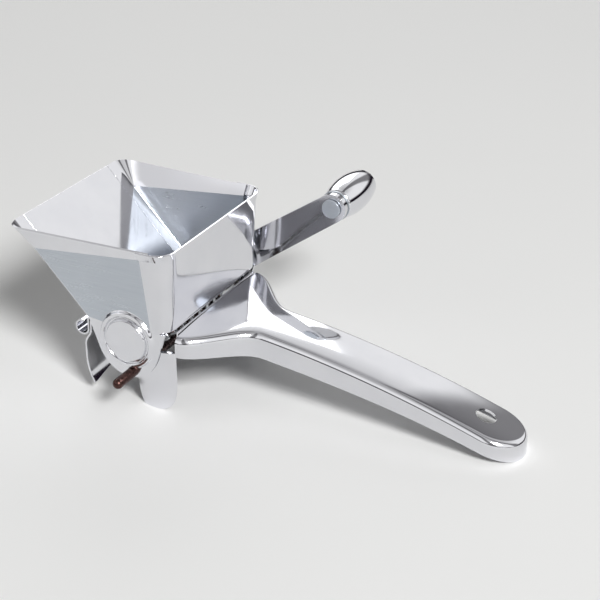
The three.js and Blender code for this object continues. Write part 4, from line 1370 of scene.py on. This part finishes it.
class HERBCUTTER_OT_knob(bpy.types.Operator):
    """Builds the turning knob with its spindle and washer"""

    bl_idname = "herb_cutter.knob"
    bl_label = "Knob"

    def execute(self, context):
        crank = context.scene.cutter_crank
        middle = (KNOB_AXIS.x, KNOB_AXIS.z)
        set_piece(draw_spindle(crank), "knob_spindle", ease=0.2 * MM, turn=40)
        washer = draw_tube("knob_washer", crank.spindle_radius + PLAY, crank.knob_washer, middle)
        set_piece(washer, "knob_washer", ease=0.2 * MM)
        set_piece(draw_knob(crank), "crank_knob", ease=0)
        return {"FINISHED"}


class HERBCUTTER_OT_stage(bpy.types.Operator):
    """Sets up the floor, the soft light and the camera"""

    bl_idname = "herb_cutter.stage"
    bl_label = "Stage"

    def execute(self, context):
        scene = context.scene
        settings = scene.cutter_stage
        scene.view_settings.view_transform = "Standard"
        lay_floor(scene, settings)
        light_room(scene, settings)
        hang_lamps(scene)
        set_camera(scene, settings)
        return {"FINISHED"}


class HERBCUTTER_PT_panel(bpy.types.Panel):
    """Lists the steps that build the herb cutter"""

    bl_label = "Herb cutter"
    bl_idname = "HERBCUTTER_PT_panel"
    bl_space_type = "VIEW_3D"
    bl_region_type = "UI"
    bl_category = "Herb cutter"

    def draw(self, context):
        for step in STEPS:
            self.layout.operator(step.bl_idname)


STEPS = (
    HERBCUTTER_OT_stage,
    HERBCUTTER_OT_end_plates,
    HERBCUTTER_OT_walls,
    HERBCUTTER_OT_combs,
    HERBCUTTER_OT_cheek_and_apron,
    HERBCUTTER_OT_feet,
    HERBCUTTER_OT_tie_rod,
    HERBCUTTER_OT_handle,
    HERBCUTTER_OT_rotor,
    HERBCUTTER_OT_crank,
    HERBCUTTER_OT_knob,
)
GROUPS = {
    "cutter_hopper": HopperSizes,
    "cutter_rotor": RotorSizes,
    "cutter_crank": CrankSizes,
    "cutter_handle": HandleSizes,
    "cutter_colours": CutterColours,
    "cutter_stage": StageSettings,
}


def register():
    """Registers the property groups, the operators and the panel."""
    for name, group in GROUPS.items():
        bpy.utils.register_class(group)
        setattr(bpy.types.Scene, name, bpy.props.PointerProperty(type=group))
    for step in STEPS:
        bpy.utils.register_class(step)
    bpy.utils.register_class(HERBCUTTER_PT_panel)


def unregister():
    """Takes away what register added."""
    bpy.utils.unregister_class(HERBCUTTER_PT_panel)
    for step in reversed(STEPS):
        bpy.utils.unregister_class(step)
    for name, group in GROUPS.items():
        delattr(bpy.types.Scene, name)
        bpy.utils.unregister_class(group)


def main():
    """Builds the cutter and its stage."""
    register()
    bpy.ops.herb_cutter.stage()
    bpy.ops.herb_cutter.end_plates()
    bpy.ops.herb_cutter.walls()
    bpy.ops.herb_cutter.combs()
    bpy.ops.herb_cutter.cheek_and_apron()
    bpy.ops.herb_cutter.feet()
    bpy.ops.herb_cutter.tie_rod()
    bpy.ops.herb_cutter.handle()
    bpy.ops.herb_cutter.rotor()
    bpy.ops.herb_cutter.crank()
    bpy.ops.herb_cutter.knob()


if __name__ == "__main__":
    main()
